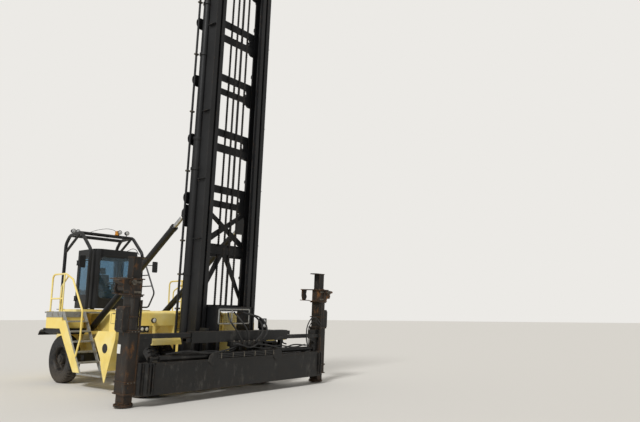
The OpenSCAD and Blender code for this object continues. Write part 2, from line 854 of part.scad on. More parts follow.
module work_lamps() {
    color(black) in_frame() {
        // Box of round lamps under the right side box
        block(-1860, -1480, hood_front + 10, hood_front + 160, 1365, 1520 - seat);
        // Lamp box on a stalk above the left fender
        block(1320, 1490, 550, 700, 1430, 1690);
        bar_z(22, fender_z + seat, 1431, 1405, 625, 20);
    }
    color(white) in_frame() {
        for (i = [0 : 2])
            bar_y(46, hood_front, hood_front + 10 - seat, -1790 + 120 * i, 1445, 24);
        // Round lamps on the fronts of the side boxes
        both_sides() bar_y(55, hood_front - 50, hood_front - seat, 1390, 1640, 24);
        // Lamps above the guard's roof rails
        for (x = [-800, -660])
            lamp(x, 6700, 4155 + guard_d / 2);
        for (x = [380, 640])
            lamp(x, 6060, 4185 + guard_d / 2);
    }
}

// Mast

// Channel that opens to the mast's middle, with its front flange from x0 + cut to x1 + out
module rail_section(x0, x1, y0, y1, wall, cut, out) {
    polygon([
        [x0 + cut, y0], [x1 + out, y0], [x1 + out, y0 + wall], [x1, y0 + wall], [x1, y1], [x0, y1],
        [x0, y1 - wall], [x1 - wall, y1 - wall], [x1 - wall, y0 + wall], [x0 + cut, y0 + wall]
    ]);
}

// Cross plate with a long slot and curved gussets
module slot_plate(z, h) {
    half = mast_in - seat;
    cut = 90;
    difference() {
        polygon(rounded([
            [-half, z], [-half + 120, z], [-half + 200, z + cut], [half - 200, z + cut],
            [half - 120, z], [half, z], [half, z + h], [-half, z + h]
        ], [0, 90, 90, 90, 90, 0, 0, 0]));
        polygon(rounded(rect(-half + 170, half - 170, z + h * 0.4, z + h * 0.7), 70));
    }
}

module mast_rails() {
    color(black) leaned() both_sides() {
        translate([0, 0, rail_foot]) linear_extrude(rail_h)
            rail_section(mast_in, mast_out, mast_front, mast_back, rail_wall,
                rail_face - lip_in, lip_out);
        mast_ear();
        // Foot of the lift cylinder and of its pipe
        block(mast_in, pipe_x + pipe_r + 10, mast_back - 1, pipe_y + pipe_r, lift_foot - 60, lift_foot - seat);
        tilt_ear();
        for (z = [2700, 5250]) lift_clamp(z, lift_d / 2);
        lift_clamp(lift_step - 30, lift_d / 2);
        for (z = [8200, 9570]) lift_clamp(z, lift_neck_r);
        for (z = [4570, 6040, 7560, 9080]) wing(z);
        // Small tabs on the web
        for (z = [3560, 5000, 6700, 8950])
            block(mast_out - 1, mast_out + 70, mast_front + 30, mast_back - 40, z, z + 14);
    }
}

// Round clamp that holds the lift cylinder to the rail
module lift_clamp(z, r) {
    difference() {
        union() {
            bar_z(r + 20, z, z + 60, lift_x, lift_y, 48);
            block(lift_x - r - 19, lift_x, mast_back - 1, lift_y, z, z + 60);
        }
        bar_z(r + seat, z - 1, z + 61, lift_x, lift_y, 48);
    }
}

// Plate with a rounded end, behind the lift cylinder, that carries the pipe
module wing(z) {
    y = pipe_y + pipe_r + seat;
    block(mast_in + 20, mast_in + 100, mast_back - 1, y + 1, z - 70, z + 70);
    along_y(y, y + 16)
        polygon(rounded([
            [mast_in + 20, z - 150], [pipe_x + 40, z - 150], [pipe_x + 40, z + 150], [mast_in + 20, z + 150]
        ], [0, 140, 140, 0]));
}

// Ear of the tilt cylinder's rod, carried round behind the lift cylinder
module tilt_ear() {
    y = pipe_y + 2;
    block(mast_in + 10, mast_in + 110, mast_back - 1, y + 14, 3860, 4400);
    block(mast_in + 10, tilt_x + 60, y, y + 14, 3860, 4400);
    for (x = [tilt_x - 60, tilt_x + 30])
        along_x(x, x + 30) polygon(rounded([
            [y + 13, tilt_eye.y - 280], [tilt_eye.x + 70, tilt_eye.y - 70],
            [tilt_eye.x + 70, tilt_eye.y + 70], [y + 13, tilt_eye.y + 200]
        ], [0, 60, 60, 0]));
    bar_x(36, tilt_x - 31, tilt_x + 31, tilt_eye.x, tilt_eye.y);
}

// Plates and braces welded between the rails, seated on their rear flanges
module mast_plates() {
    half = mast_in - seat;
    front = mast_back - rail_wall + run;
    color(black) leaned() both_sides()
        block(chain_x - 45, chain_x + 45, sheave_y + sheave_r - 2, front + 1, 1900, 2030);
    color(black) leaned() along_y(front, mast_back - 5) {
        for (z = [5780, 7230, 8680]) slot_plate(z, 640);
        slot_plate(rail_top - 500, 480);
        polygon(rect(-half, half, 1880, 2030));
        polygon(rect(-half, half, rail_foot + 20, rail_foot + 320));
        // Lower lattice: a plate, crossed braces above it and splayed ones below
        slot_plate(4330, 640);
        polygon(rect(-half, half, 3190, 3510));
        both_sides() {
            polygon([[-half, 3500], [-520, 3500], [half, 4290], [half, 4340], [520, 4340], [-half, 3600]]);
            polygon([[20, 3200], [half, 2130], [half, 2310], [190, 3200]]);
        }
    }
}

// Plate and ring that hang the mast on the drive axle
module mast_ear() {
    x0 = mast_out - 1;
    x1 = mast_out + 70;
    along_x(x0, x1) difference() {
        union() {
            polygon([[mast_front + 60, rail_foot], [mast_front + 60, 1150], [mast_back, 1150],
                [mast_back, lift_foot - 30], [drive_y + 60, lift_foot - 30], [drive_y, axle_z - 245],
                [mast_back, rail_foot]]);
            translate([drive_y, axle_z]) circle(r = housing_r + 75, $fn = 48);
        }
        translate([drive_y, axle_z]) circle(r = housing_r + slip, $fn = 48);
    }
}

module lift_barrels() {
    color(black) leaned() both_sides() difference() {
        union() {
            bar_z(lift_d / 2, lift_foot, lift_step, lift_x, lift_y, 48);
            bar_z(lift_neck_r, lift_step - 1, lift_head, lift_x, lift_y, 48);
            bar_z(lift_d / 2, lift_head - 120, lift_head, lift_x, lift_y, 48);
        }
        bar_z(lift_rod_r + 15, lift_foot + 80, lift_head - 100, lift_x, lift_y, 48);
        bar_z(lift_rod_r + slip, lift_head - 120, lift_head + 10, lift_x, lift_y, 48);
    }
}

module mast_pipes() {
    color(black) leaned() both_sides() bar_z(pipe_r, lift_foot, rail_top - 280, pipe_x, pipe_y, 20);
}

module lift_rods() {
    color(chrome) leaned() both_sides()
        bar_z(lift_rod_r, lift_foot + 200, head_z - seat, lift_x, lift_y, 48);
}

module inner_mast() {
    color(black) leaned() {
        both_sides() {
            translate([0, 0, rail_foot + 20]) linear_extrude(inner_top - rail_foot - 20)
                rail_section(inner_in, inner_out, inner_front, inner_back, inner_wall, 0, 0);
            // Rib along the front flange
            block(inner_in + 40, inner_in + 140, mast_front + 2, inner_front + 1, rail_foot + 20, inner_top);
            // Sheave of the lift chain
            bar_x(sheave_r, chain_x - 40, chain_x + 40, sheave_y, sheave_z, 40);
        }
        // Cross head over the lift rods
        block(-lift_x - 100, lift_x + 100, inner_front, lift_y + 110, head_z, head_z + 120);
        block(-inner_in - 40, inner_in + 40, inner_back - 25, inner_back - 5, head_z - 220, head_z + 1);
        both_sides() block(inner_in, inner_out, inner_front, inner_back, inner_top - 1, head_z + 1);
        bar_x(45, -inner_in - 5, inner_in + 5, sheave_y, sheave_z);
        // Cross members behind the carriage
        for (z = [rail_foot + 120, 3260, 5810, 8710])
            block(-inner_in - 10, inner_in + 10, inner_back - 25, inner_back - 5, z, z + 180);
    }
}

module lift_chains() {
    color(black) leaned() {
        both_sides()
            block(chain_x - 30, chain_x + 30, chain_front - 12, chain_front + 12 - seat, 1990, sheave_z);
        bar_z(22, 1990, sheave_z, 0, chain_front, 16);
    }
}

// Runs of the chains from the sheaves down to the outer mast
module chain_returns() {
    y = sheave_y + sheave_r;
    color(black) leaned() both_sides()
        block(chain_x - 30, chain_x + 30, y + seat, y + 16, 2030, sheave_z);
}

// Tilt cylinders

tilt_pin_y = tilt_pin.x;
tilt_dir = tilt_place() - tilt_pin;
tilt_len = norm(tilt_dir);
tilt_angle = atan2(tilt_dir.y, tilt_dir.x);

// The rod's pin after the mast leans, in Y and Z
function tilt_place() = [
    drive_y + (tilt_eye.x - drive_y) * cos(lean) - (tilt_eye.y - axle_z) * sin(lean),
    axle_z + (tilt_eye.x - drive_y) * sin(lean) + (tilt_eye.y - axle_z) * cos(lean)
];

// Along the cylinder: local Z runs from the chassis pin to the mast pin
module on_tilt(x) {
    in_frame() translate([x, tilt_pin.x, tilt_pin.y])
        rotate([tilt_angle - 90, 0, 0]) children();
}

tilt_gland = tilt_len - 480;

module tilt_barrel(x) {
    color(black) on_tilt(x) {
        difference() {
            union() {
                bar_z(tilt_d / 2, 75, tilt_gland, 0, 0, 40);
                bar_z(tilt_d / 2 + 8, tilt_gland - 90, tilt_gland, 0, 0, 40);
                bar_x(75, -50, 50, 0, 0, 40);
                block(-45, 45, -50, 50, 20, 90);
            }
            bar_x(40 + slip, -60, 60, 0, 0, 40);
            bar_z(tilt_rod_r + 10, 300, tilt_gland - 60, 0, 0, 40);
            bar_z(tilt_rod_r + slip, tilt_gland - 80, tilt_gland + 10, 0, 0, 40);
        }
    }
}

module tilt_rod(x) {
    color(chrome) on_tilt(x) difference() {
        union() {
            bar_z(tilt_rod_r, tilt_gland - 1500, tilt_len - 130, 0, 0, 40);
            block(-25, 25, -50, 50, tilt_len - 131, tilt_len - 30);
            bar_x(70, -25, 25, 0, tilt_len, 40);
        }
        bar_x(36 + 4, -60, 60, 0, tilt_len, 40);
    }
}

// Carriage and spreader

// Front face and top of the carriage's bars
bar_y0 = 150;
bar_top = 1450;

module carriage() {
    roller_r = (rail_depth - 2 * rail_wall - 2 * run - 2 * inner_wall) / 2 - 5;
    roller_y = (inner_front + inner_back) / 2;
    plate_x = inner_in - run - 40;
    color(black) leaned() {
        both_sides() {
            block(plate_x, plate_x + 40, 150, roller_y + roller_r + 5, 800, 2000);
            for (z = [950, 1850])
                bar_x(roller_r, plate_x + 39, inner_out - inner_wall - run, roller_y, z, 40);
        }
        // Bars that carry the spreader
        block(-1270, 1270, bar_y0, 260, 1330, bar_top);
        block(-1270, 1270, bar_y0, 260, 700, 820);
        for (x = [-plate_x, -60, plate_x - 80])
            block(x, x + 120, 180, 260, 700, 1450);
        block(-plate_x, plate_x, 180, 260, 1900, 2000);
        // Chain anchors
        block(-160, 160, 260, chain_front + 30, 1900, 1990 - seat);
        both_sides() block(plate_x - 79, plate_x + 40, 180, 260, 1449, 2000);
    }
}

module spreader_frame() {
    color(black) leaned() {
        // Hooks over the carriage bars
        both_sides() along_x(900, 960) polygon([
            [beam_back, beam_z + 40], [bar_y0 - seat, beam_z + 40], [bar_y0 - seat, 640], [275, 640],
            [275, 690], [bar_y0 - seat, 690], [bar_y0 - seat, bar_top + seat], [275, bar_top + seat],
            [275, 1520],
            [slide_back, 1520], [slide_back, beam_top], [beam_back, beam_top]
        ]);
        // Upper sleeves of the slide tubes
        difference() {
            block(-1500, 1500, slide_y - slide_wall - 5, slide_y + slide_depth + slide_wall + 5,
                slide_z_l - slide_wall - 5, slide_z_r + slide_h + slide_wall + 5);
            block(-1510, 1510, slide_y - 5, slide_y + slide_depth + 5, slide_z_l - 5, slide_z_l + slide_h + 5);
            block(-1510, 1510, slide_y - 5, slide_y + slide_depth + 5, slide_z_r - 5, slide_z_r + slide_h + 5);
        }
        // Uprights from the main beam
        for (x = [-1400, -700, 0, 700, 1400])
            block(x - 40, x + 40, -50, beam_back, beam_top, slide_z_l - slide_wall);
    }
}

// Two stacked chambers for the arms
beam_mid = beam_z + beam_h / 2;

module main_beam() {
    color(black) leaned() {
        difference() {
            block(-beam_end, beam_end, beam_front, beam_back, beam_z, beam_top);
            block(-beam_end - 1, beam_end + 1, beam_front + beam_wall, beam_back - beam_wall,
                beam_z + beam_wall, beam_mid - beam_wall / 2);
            block(-beam_end - 1, beam_end + 1, beam_front + beam_wall, beam_back - beam_wall,
                beam_mid + beam_wall / 2, beam_top - beam_wall);
        }
        // Lip along the top edge, and upright stiffeners on the back
        block(-beam_end, beam_end, beam_front - 12, beam_front + 1, beam_top - 45, beam_top);
        for (x = [-ext_gland, -1700, 1640, ext_gland - 60])
            block(x, x + 60, beam_back - 1, beam_back + 40, beam_z + 40, beam_top - 20);
        // Feet of the hose bridge
        for (x = [-1150, -560, 360, 690])
            along_x(x, x + 20) polygon(rounded([
                [beam_front + 10, beam_top - 1], [beam_front + 10, beam_top + 26], [ext_y(-1) - 52, beam_top + 26],
                [ext_y(-1) - 52, beam_top - 1]], [0, 10, 0, 0]));
        // Extension cylinders on top
        for (s = [-1, 1]) difference() {
            bar_x(ext_r, s < 0 ? -ext_gland : -900, s < 0 ? 900 : ext_gland, ext_y(s), ext_z, 32);
            bar_x(ext_rod_r + 12, s < 0 ? 80 - ext_gland : -850, s < 0 ? 850 : ext_gland - 80, ext_y(s), ext_z, 32);
            bar_x(ext_rod_r + slip, s < 0 ? -ext_gland - 20 : ext_gland - 90,
                s < 0 ? 90 - ext_gland : ext_gland + 20, ext_y(s), ext_z, 32);
        }
        for (x = [180 - ext_gland, -850, 400, 790, ext_gland - 240])
            block(x, x + 60, ext_y(-1) - 70, ext_y(1) + 70, beam_top - 1, ext_z - ext_r + 4);
    }
}

ext_gland = beam_end - 120;
ext_r = 58;
ext_rod_r = 28;
ext_z = beam_top + 66;
function ext_y(side) = side < 0 ? beam_front + 90 : beam_front + 230;

// The arm of one side; right is -X and rides in the upper chamber
module arm(upper) {
    z0 = upper ? beam_mid + beam_wall / 2 + arm_clear : beam_z + beam_wall + arm_clear;
    z1 = upper ? beam_top - beam_wall - arm_clear : beam_mid - beam_wall / 2 - arm_clear;
    y0 = beam_front + beam_wall + arm_clear;
    y1 = beam_back - beam_wall - arm_clear;
    inner_x = beam_end - arm_reach - arm_overlap;
    sz = upper ? slide_z_r : slide_z_l;
    wall = 20;
    color(black) leaned() {
        difference() {
            block(inner_x, end_x + 5, y0, y1, z0, z1);
            block(inner_x - 1, end_x - 20, y0 + wall, y1 - wall, z0 + wall, z1 - wall);
        }
        // Wedge-shaped end that carries the post
        translate([0, 0, beam_z]) linear_extrude(beam_h) polygon([
            [end_x, beam_front], [end_x + 140, beam_front], [post_in + 10, post_front - seat],
            [post_in - seat, post_front - seat], [post_in - seat, post_front + post_depth - 20],
            [end_x, beam_back - 20]
        ]);
        // Upright ribs on the wedge's front, with their rounded feet
        for (x = [end_x + 25, end_x + 100])
            along_x(x, x + 26) polygon(rounded([
                [beam_front + 1, beam_top], [beam_front - 34, beam_top - 40], [beam_front - 34, beam_z + 90],
                [beam_front + 1, beam_z + 20]], [0, 20, 30, 0]));
        block(post_in - 70, post_in - 40, post_front - 130, post_front - 40, beam_z + 30, beam_top);
        // Slide tube and its bracket
        difference() {
            block(-300, post_in - seat, slide_y, slide_y + slide_depth, sz, sz + slide_h);
            block(-301, post_in - 60, slide_y + 12, slide_y + slide_depth - 12, sz + 12, sz + slide_h - 12);
        }
        along_y(slide_y + 40, slide_y + slide_depth - 40) polygon(rounded([
            [end_x, beam_top - 1], [post_in - seat, beam_top - 1],
            [post_in - seat, slide_z_r + slide_h], [post_in - 330, slide_z_r + slide_h],
            [post_in - 330, slide_z_l], [post_in - 120, slide_z_l - 140]
        ], [0, 0, 0, 0, 0, 60]));
    }
    color(chrome) leaned() {
        s = upper ? -1 : 1;
        y = ext_y(s);
        bar_x(ext_rod_r, -700, end_x + 50, y, ext_z, 24);
    }
    color(black) leaned() {
        y = ext_y(upper ? -1 : 1);
        block(end_x + 30, end_x + 90, y - 45, y + 45, beam_top - 1, ext_z + 45);
    }
}

module post() {
    out = spread_w / 2;
    mid_x = out - post_w / 2;
    mid = post_depth / 2;
    color(black) leaned() translate([0, post_front, 0]) {
        translate([0, 0, foot_z + 220]) linear_extrude(1200)
            polygon(rounded(rect(post_in, out, 0, post_depth), 30, 3));
        translate([0, 0, foot_z + 1419]) linear_extrude(post_top - foot_z - 1419)
            polygon(rounded(rect(post_in + 25, out - 15, 20, post_depth - 20), 50, 3));
        // Collars: [bottom, top, how far each stands out, and on the inner side]
        for (c = [[220, 245, 12, -14], [430, 470, 10, -14], [1400, 1440, 14, 14], [1690, 1715, -6, -6],
                  [2090, 2120, -4, -4]])
            block(post_in - c[3], out + c[2], -c[2], post_depth + c[2], foot_z + c[0], foot_z + c[1]);
        // Edge strip along the inner side
        block(post_in + 12, post_in + 38, -16, 30, foot_z + 235, foot_z + 2030);
        // Leg and its round foot with its bolts
        block(post_in + 30, out - 30, 50, post_depth - 60, foot_z + 30, foot_z + 221);
        bar_z(150, foot_z + 30, foot_z + 70, mid_x, mid, 32);
        bar_z(185, foot_z, foot_z + 34, mid_x, mid, 32);
        for (i = [0 : 7])
            translate([mid_x + 160 * cos(45 * i + 22.5), mid + 160 * sin(45 * i + 22.5), foot_z + 33])
                cylinder(r = 15, h = 22, $fn = 6);
        // Cover over the side valves
        along_y(60, post_depth - 60) polygon(rounded([
            [out - 20, foot_z + 1400], [out + 90, foot_z + 1400], [out + 130, foot_z + 1450],
            [out + 130, foot_z + 1840], [out + 90, foot_z + 1900], [out - 20, foot_z + 1900]
        ], [0, 10, 20, 30, 20, 0]));
        // Guide tube for the head, with its cap
        difference() {
            block(mid_x - 95, mid_x + 95, mid - 95, mid + 95, post_top - 1, foot_z + 2860);
            block(mid_x - 80, mid_x + 80, mid - 80, mid + 80, post_top + 40, foot_z + 2850);
        }
        block(mid_x - 260, mid_x + 105, mid - 105, mid + 105, foot_z + 2859, foot_z + 2885);
    }
}

module head() {
    out = spread_w / 2;
    mid_x = out - post_w / 2;
    mid = post_depth / 2;
    hole = 95 + 6;
    color(black) leaned() translate([0, post_front, 0]) difference() {
        union() {
            // Upper and lower plates round the sleeve
            translate([0, 0, head_z0]) linear_extrude(22) polygon(rounded([
                [post_in - 40, 30], [out + 60, 0], [out + 160, 60], [out + 160, 420], [out + 60, 780],
                [post_in + 20, 780], [post_in - 40, 440]], [20, 20, 40, 40, 30, 30, 40]));
            translate([0, 0, post_top + seat]) linear_extrude(22) polygon(rounded([
                [post_in - 60, 50], [out + 60, 20], [out + 60, 400], [post_in - 60, 380]], 20, 3));
            block(mid_x - 125, mid_x + 125, mid - 125, mid + 125, post_top + 20, head_z0 + 1);
            // Hanging casting behind, with its small foot
            along_y(700, 750) polygon(rounded([
                [mid_x - 80, head_z0 + 1], [mid_x - 80, head_z0 - 170], [mid_x - 40, head_z0 - 276],
                [mid_x + 60, head_z0 - 276], [mid_x + 100, head_z0 - 190], [mid_x + 66, head_z0 - 110],
                [mid_x + 90, head_z0 + 1]], [0, 40, 10, 10, 40, 40, 0]));
            block(mid_x - 100, mid_x + 110, 610, 780, head_z0 - 296, head_z0 - 275);
            // Outer casting that carries the lock
            along_y(30, 240) polygon(rounded([
                [out - 60, head_z0 + 1], [out - 60, post_top + 21], [out + 40, post_top + 21],
                [out + 70, head_z0 - 210], [out + 170, head_z0 - 230], [out + 200, head_z0 - 150],
                [out + 150, head_z0 - 100], [out + 300, head_z0 - 60], [out + 300, head_z0 - 20],
                [out + 150, head_z0 + 1]
            ], [0, 0, 10, 30, 30, 30, 40, 15, 15, 0]));
            // Boss of the lock
            bar_y(58, -14, 40, out + 20, head_z0 - 60, 24);
        }
        block(mid_x - hole, mid_x + hole, mid - hole, mid + hole, post_top - 1, head_z0 + 100);
        bar_y(32 + slip, -20, 200, out + 20, head_z0 - 60);
    }
}

module twistlock() {
    out = spread_w / 2;
    color(grey) leaned() translate([0, post_front, 0]) {
        bar_y(32, -60, 50, out + 20, head_z0 - 60);
        along_y(-92, -59) polygon(rounded([
            [out - 14, head_z0 - 112], [out + 54, head_z0 - 112],
            [out + 54, head_z0 - 8], [out - 14, head_z0 - 8]
        ], 26, 3));
        bar_y(22, -112, -91, out + 20, head_z0 - 60, 24);
    }
}

chassis_frame();
drive_axle();
steer_axle();
counterweight();
engine_block();
hood();
side_boxes();
stairs();
handrails();
front_fenders();
rear_decks();
wheel_arches();
cab_shell();
cab_glass();
cab_interior();
cab_guard();
work_lamps();
mirror([1, 0, 0]) door();  // door_r
mirror([1, 0, 0]) door_glass();  // door_glass_r
door();  // door_l
door_glass();  // door_glass_l
mast_rails();
mast_plates();
lift_barrels();
mast_pipes();
inner_mast();
lift_rods();
chain_returns();
lift_chains();
tilt_barrel(-tilt_x);  // tilt_barrel_r
tilt_rod(-tilt_x);  // tilt_rod_r
tilt_barrel(tilt_x);  // tilt_barrel_l
tilt_rod(tilt_x);  // tilt_rod_l
carriage();
spreader_frame();
main_beam();
mirror([1, 0, 0]) arm(true);  // arm_r
mirror([1, 0, 0]) post();  // post_r
mirror([1, 0, 0]) head();  // head_r
mirror([1, 0, 0]) twistlock();  // twistlock_r
arm(false);  // arm_l
post();  // post_l
head();  // head_l
twistlock();  // twistlock_l
at_drive_axle() mirror([1, 0, 0]) drive_tyres();  // drive_tyres_r
at_drive_axle() mirror([1, 0, 0]) drive_rims();  // drive_rims_r
at_drive_axle() drive_tyres();  // drive_tyres_l
at_drive_axle() drive_rims();  // drive_rims_l
at_steer_axle() mirror([1, 0, 0]) knuckle();  // knuckle_r
at_steer_axle() mirror([1, 0, 0]) steer_tyre();  // steer_tyre_r
at_steer_axle() mirror([1, 0, 0]) steer_rim();  // steer_rim_r
at_steer_axle() knuckle();  // knuckle_l
at_steer_axle() steer_tyre();  // steer_tyre_l
at_steer_axle() steer_rim();  // steer_rim_l
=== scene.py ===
"""Empty container handler: materials, fine pieces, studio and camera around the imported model."""
import math

import bmesh
import bpy
from mathutils import Matrix, Vector


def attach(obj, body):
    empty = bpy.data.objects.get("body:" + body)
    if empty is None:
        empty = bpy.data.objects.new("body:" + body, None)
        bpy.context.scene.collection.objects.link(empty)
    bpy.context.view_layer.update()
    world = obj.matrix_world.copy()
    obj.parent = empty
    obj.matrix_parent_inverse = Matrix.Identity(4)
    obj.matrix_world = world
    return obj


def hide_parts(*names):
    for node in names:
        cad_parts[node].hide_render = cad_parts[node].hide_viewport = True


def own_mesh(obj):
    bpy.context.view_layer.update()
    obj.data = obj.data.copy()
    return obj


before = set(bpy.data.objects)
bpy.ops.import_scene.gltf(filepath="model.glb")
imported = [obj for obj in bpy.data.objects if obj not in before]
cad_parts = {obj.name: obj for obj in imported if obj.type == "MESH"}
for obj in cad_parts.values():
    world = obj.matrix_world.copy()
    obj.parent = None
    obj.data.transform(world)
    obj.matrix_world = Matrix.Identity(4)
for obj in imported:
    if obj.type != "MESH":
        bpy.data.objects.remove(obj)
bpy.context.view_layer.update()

# Places below are metres in the machine's own frame: X to the driver's left, Y rearward, with the
# two axles at DRIVE_Y and STEER_Y, and Z up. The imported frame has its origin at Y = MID_Y.
MID_Y = 3.38455
DRIVE_Y, STEER_Y, AXLE_Z = 1.05, 4.95, 0.615
SIDES = (("r", -1), ("l", 1))
FORWARD = (0, -1, 0)
TO_FRAME = Matrix.Translation((0, -MID_Y, 0))
# The mast is parked leaning forward by this angle about the drive axle, with the spreader on it
LEAN = math.radians(2.5)
PIVOT = Matrix.Translation((0, DRIVE_Y, AXLE_Z))
LEANING = PIVOT @ Matrix.Rotation(LEAN, 4, "X") @ PIVOT.inverted()


def deselect():
    if bpy.context.object and bpy.context.object.mode != "OBJECT":
        bpy.ops.object.mode_set(mode="OBJECT")
    bpy.ops.object.select_all(action="DESELECT")


def select_only(*pieces):
    """Selects these pieces alone, with the last one active."""
    deselect()
    for piece in pieces:
        piece.select_set(True)
    bpy.context.view_layer.objects.active = pieces[-1]


def in_frame(piece):
    """Moves a piece from the machine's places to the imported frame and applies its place."""
    piece.data.transform(TO_FRAME @ piece.matrix_world)
    piece.matrix_world = Matrix.Identity(4)


def leaned(piece):
    """As in_frame, for a piece modelled on the upright mast or spreader."""
    piece.data.transform(LEANING @ piece.matrix_world)
    piece.matrix_world = Matrix.Identity(4)
    in_frame(piece)


# Materials --------------------------------------------------------------------------------


def linear(code):
    """An sRGB hex colour as linear RGBA."""
    channels = [int(code[i:i + 2], 16) / 255 for i in (1, 3, 5)]
    return [c / 12.92 if c <= 0.04045 else ((c + 0.055) / 1.055) ** 2.4 for c in channels] + [1]


def feed(tree, node, inputs):
    """Gives each input of a node a link, a hex colour or a plain value."""
    for name, value in inputs.items():
        if isinstance(value, bpy.types.NodeSocket):
            tree.links.new(value, node.inputs[name])
        else:
            node.inputs[name].default_value = linear(value) if isinstance(value, str) else value


def add(tree, kind, inputs, out=0, **settings):
    """Adds a shader node with its settings and links, and returns one of its outputs."""
    node = tree.nodes.new(kind)
    for name, value in settings.items():
        setattr(node, name, value)
    feed(tree, node, inputs)
    return node.outputs[out]


def patches(tree, place, size, low=0.3, high=0.7, detail=4.0, stretch=(1, 1, 1), rough=0.6):
    """Soft patches about size metres across: 0 where the noise is under low and 1 over high. A
    stretch below 1 draws them out along that axis."""
    spread = add(tree, "ShaderNodeMapping", {"Vector": place, "Scale": Vector(stretch) / size})
    cloud = add(tree, "ShaderNodeTexNoise",
                {"Vector": spread, "Scale": 1.0, "Detail": detail, "Roughness": rough})
    return add(tree, "ShaderNodeMapRange", {"Value": cloud, "From Min": low, "From Max": high},
               interpolation_type="SMOOTHSTEP")


def worn_edges(tree, radius):
    """1 on sharp edges, where a normal rounded over the radius departs from the face's own."""
    rounded = add(tree, "ShaderNodeBevel", {"Radius": radius}, samples=6)
    face = add(tree, "ShaderNodeNewGeometry", {}, "Normal")
    facing = add(tree, "ShaderNodeVectorMath", {0: rounded, 1: face}, "Value",
                 operation="DOT_PRODUCT")
    return add(tree, "ShaderNodeMapRange", {"Value": facing, "From Min": 0.98, "From Max": 0.84})


def upward(tree):
    """1 on faces that look up, where dust settles."""
    normal = add(tree, "ShaderNodeNewGeometry", {}, "Normal")
    rise = add(tree, "ShaderNodeSeparateXYZ", {0: normal}, "Z")
    return add(tree, "ShaderNodeMapRange", {"Value": rise, "From Min": 0.3, "From Max": 0.95})


def near_ground(tree, place, low, high):
    """1 below the height low and 0 above high, in metres."""
    level = add(tree, "ShaderNodeSeparateXYZ", {0: place}, "Z")
    return add(tree, "ShaderNodeMapRange", {"Value": level, "From Min": high, "From Max": low})


def start(name):
    """A new material; gives it with its node tree and its Object coordinates."""
    material = bpy.data.materials.new(name)
    material.use_nodes = True
    tree = material.node_tree
    return material, tree, add(tree, "ShaderNodeTexCoord", {}, "Object")


def dress(material, values, relief=None, depth=0.0):
    """Gives the material's shader its links and values, and a relief depth metres high."""
    tree = material.node_tree
    if relief:
        bump = add(tree, "ShaderNodeBump", {"Height": relief, "Distance": depth})
        values = {**values, "Normal": bump}
    feed(tree, tree.nodes["Principled BSDF"], values)
    return material


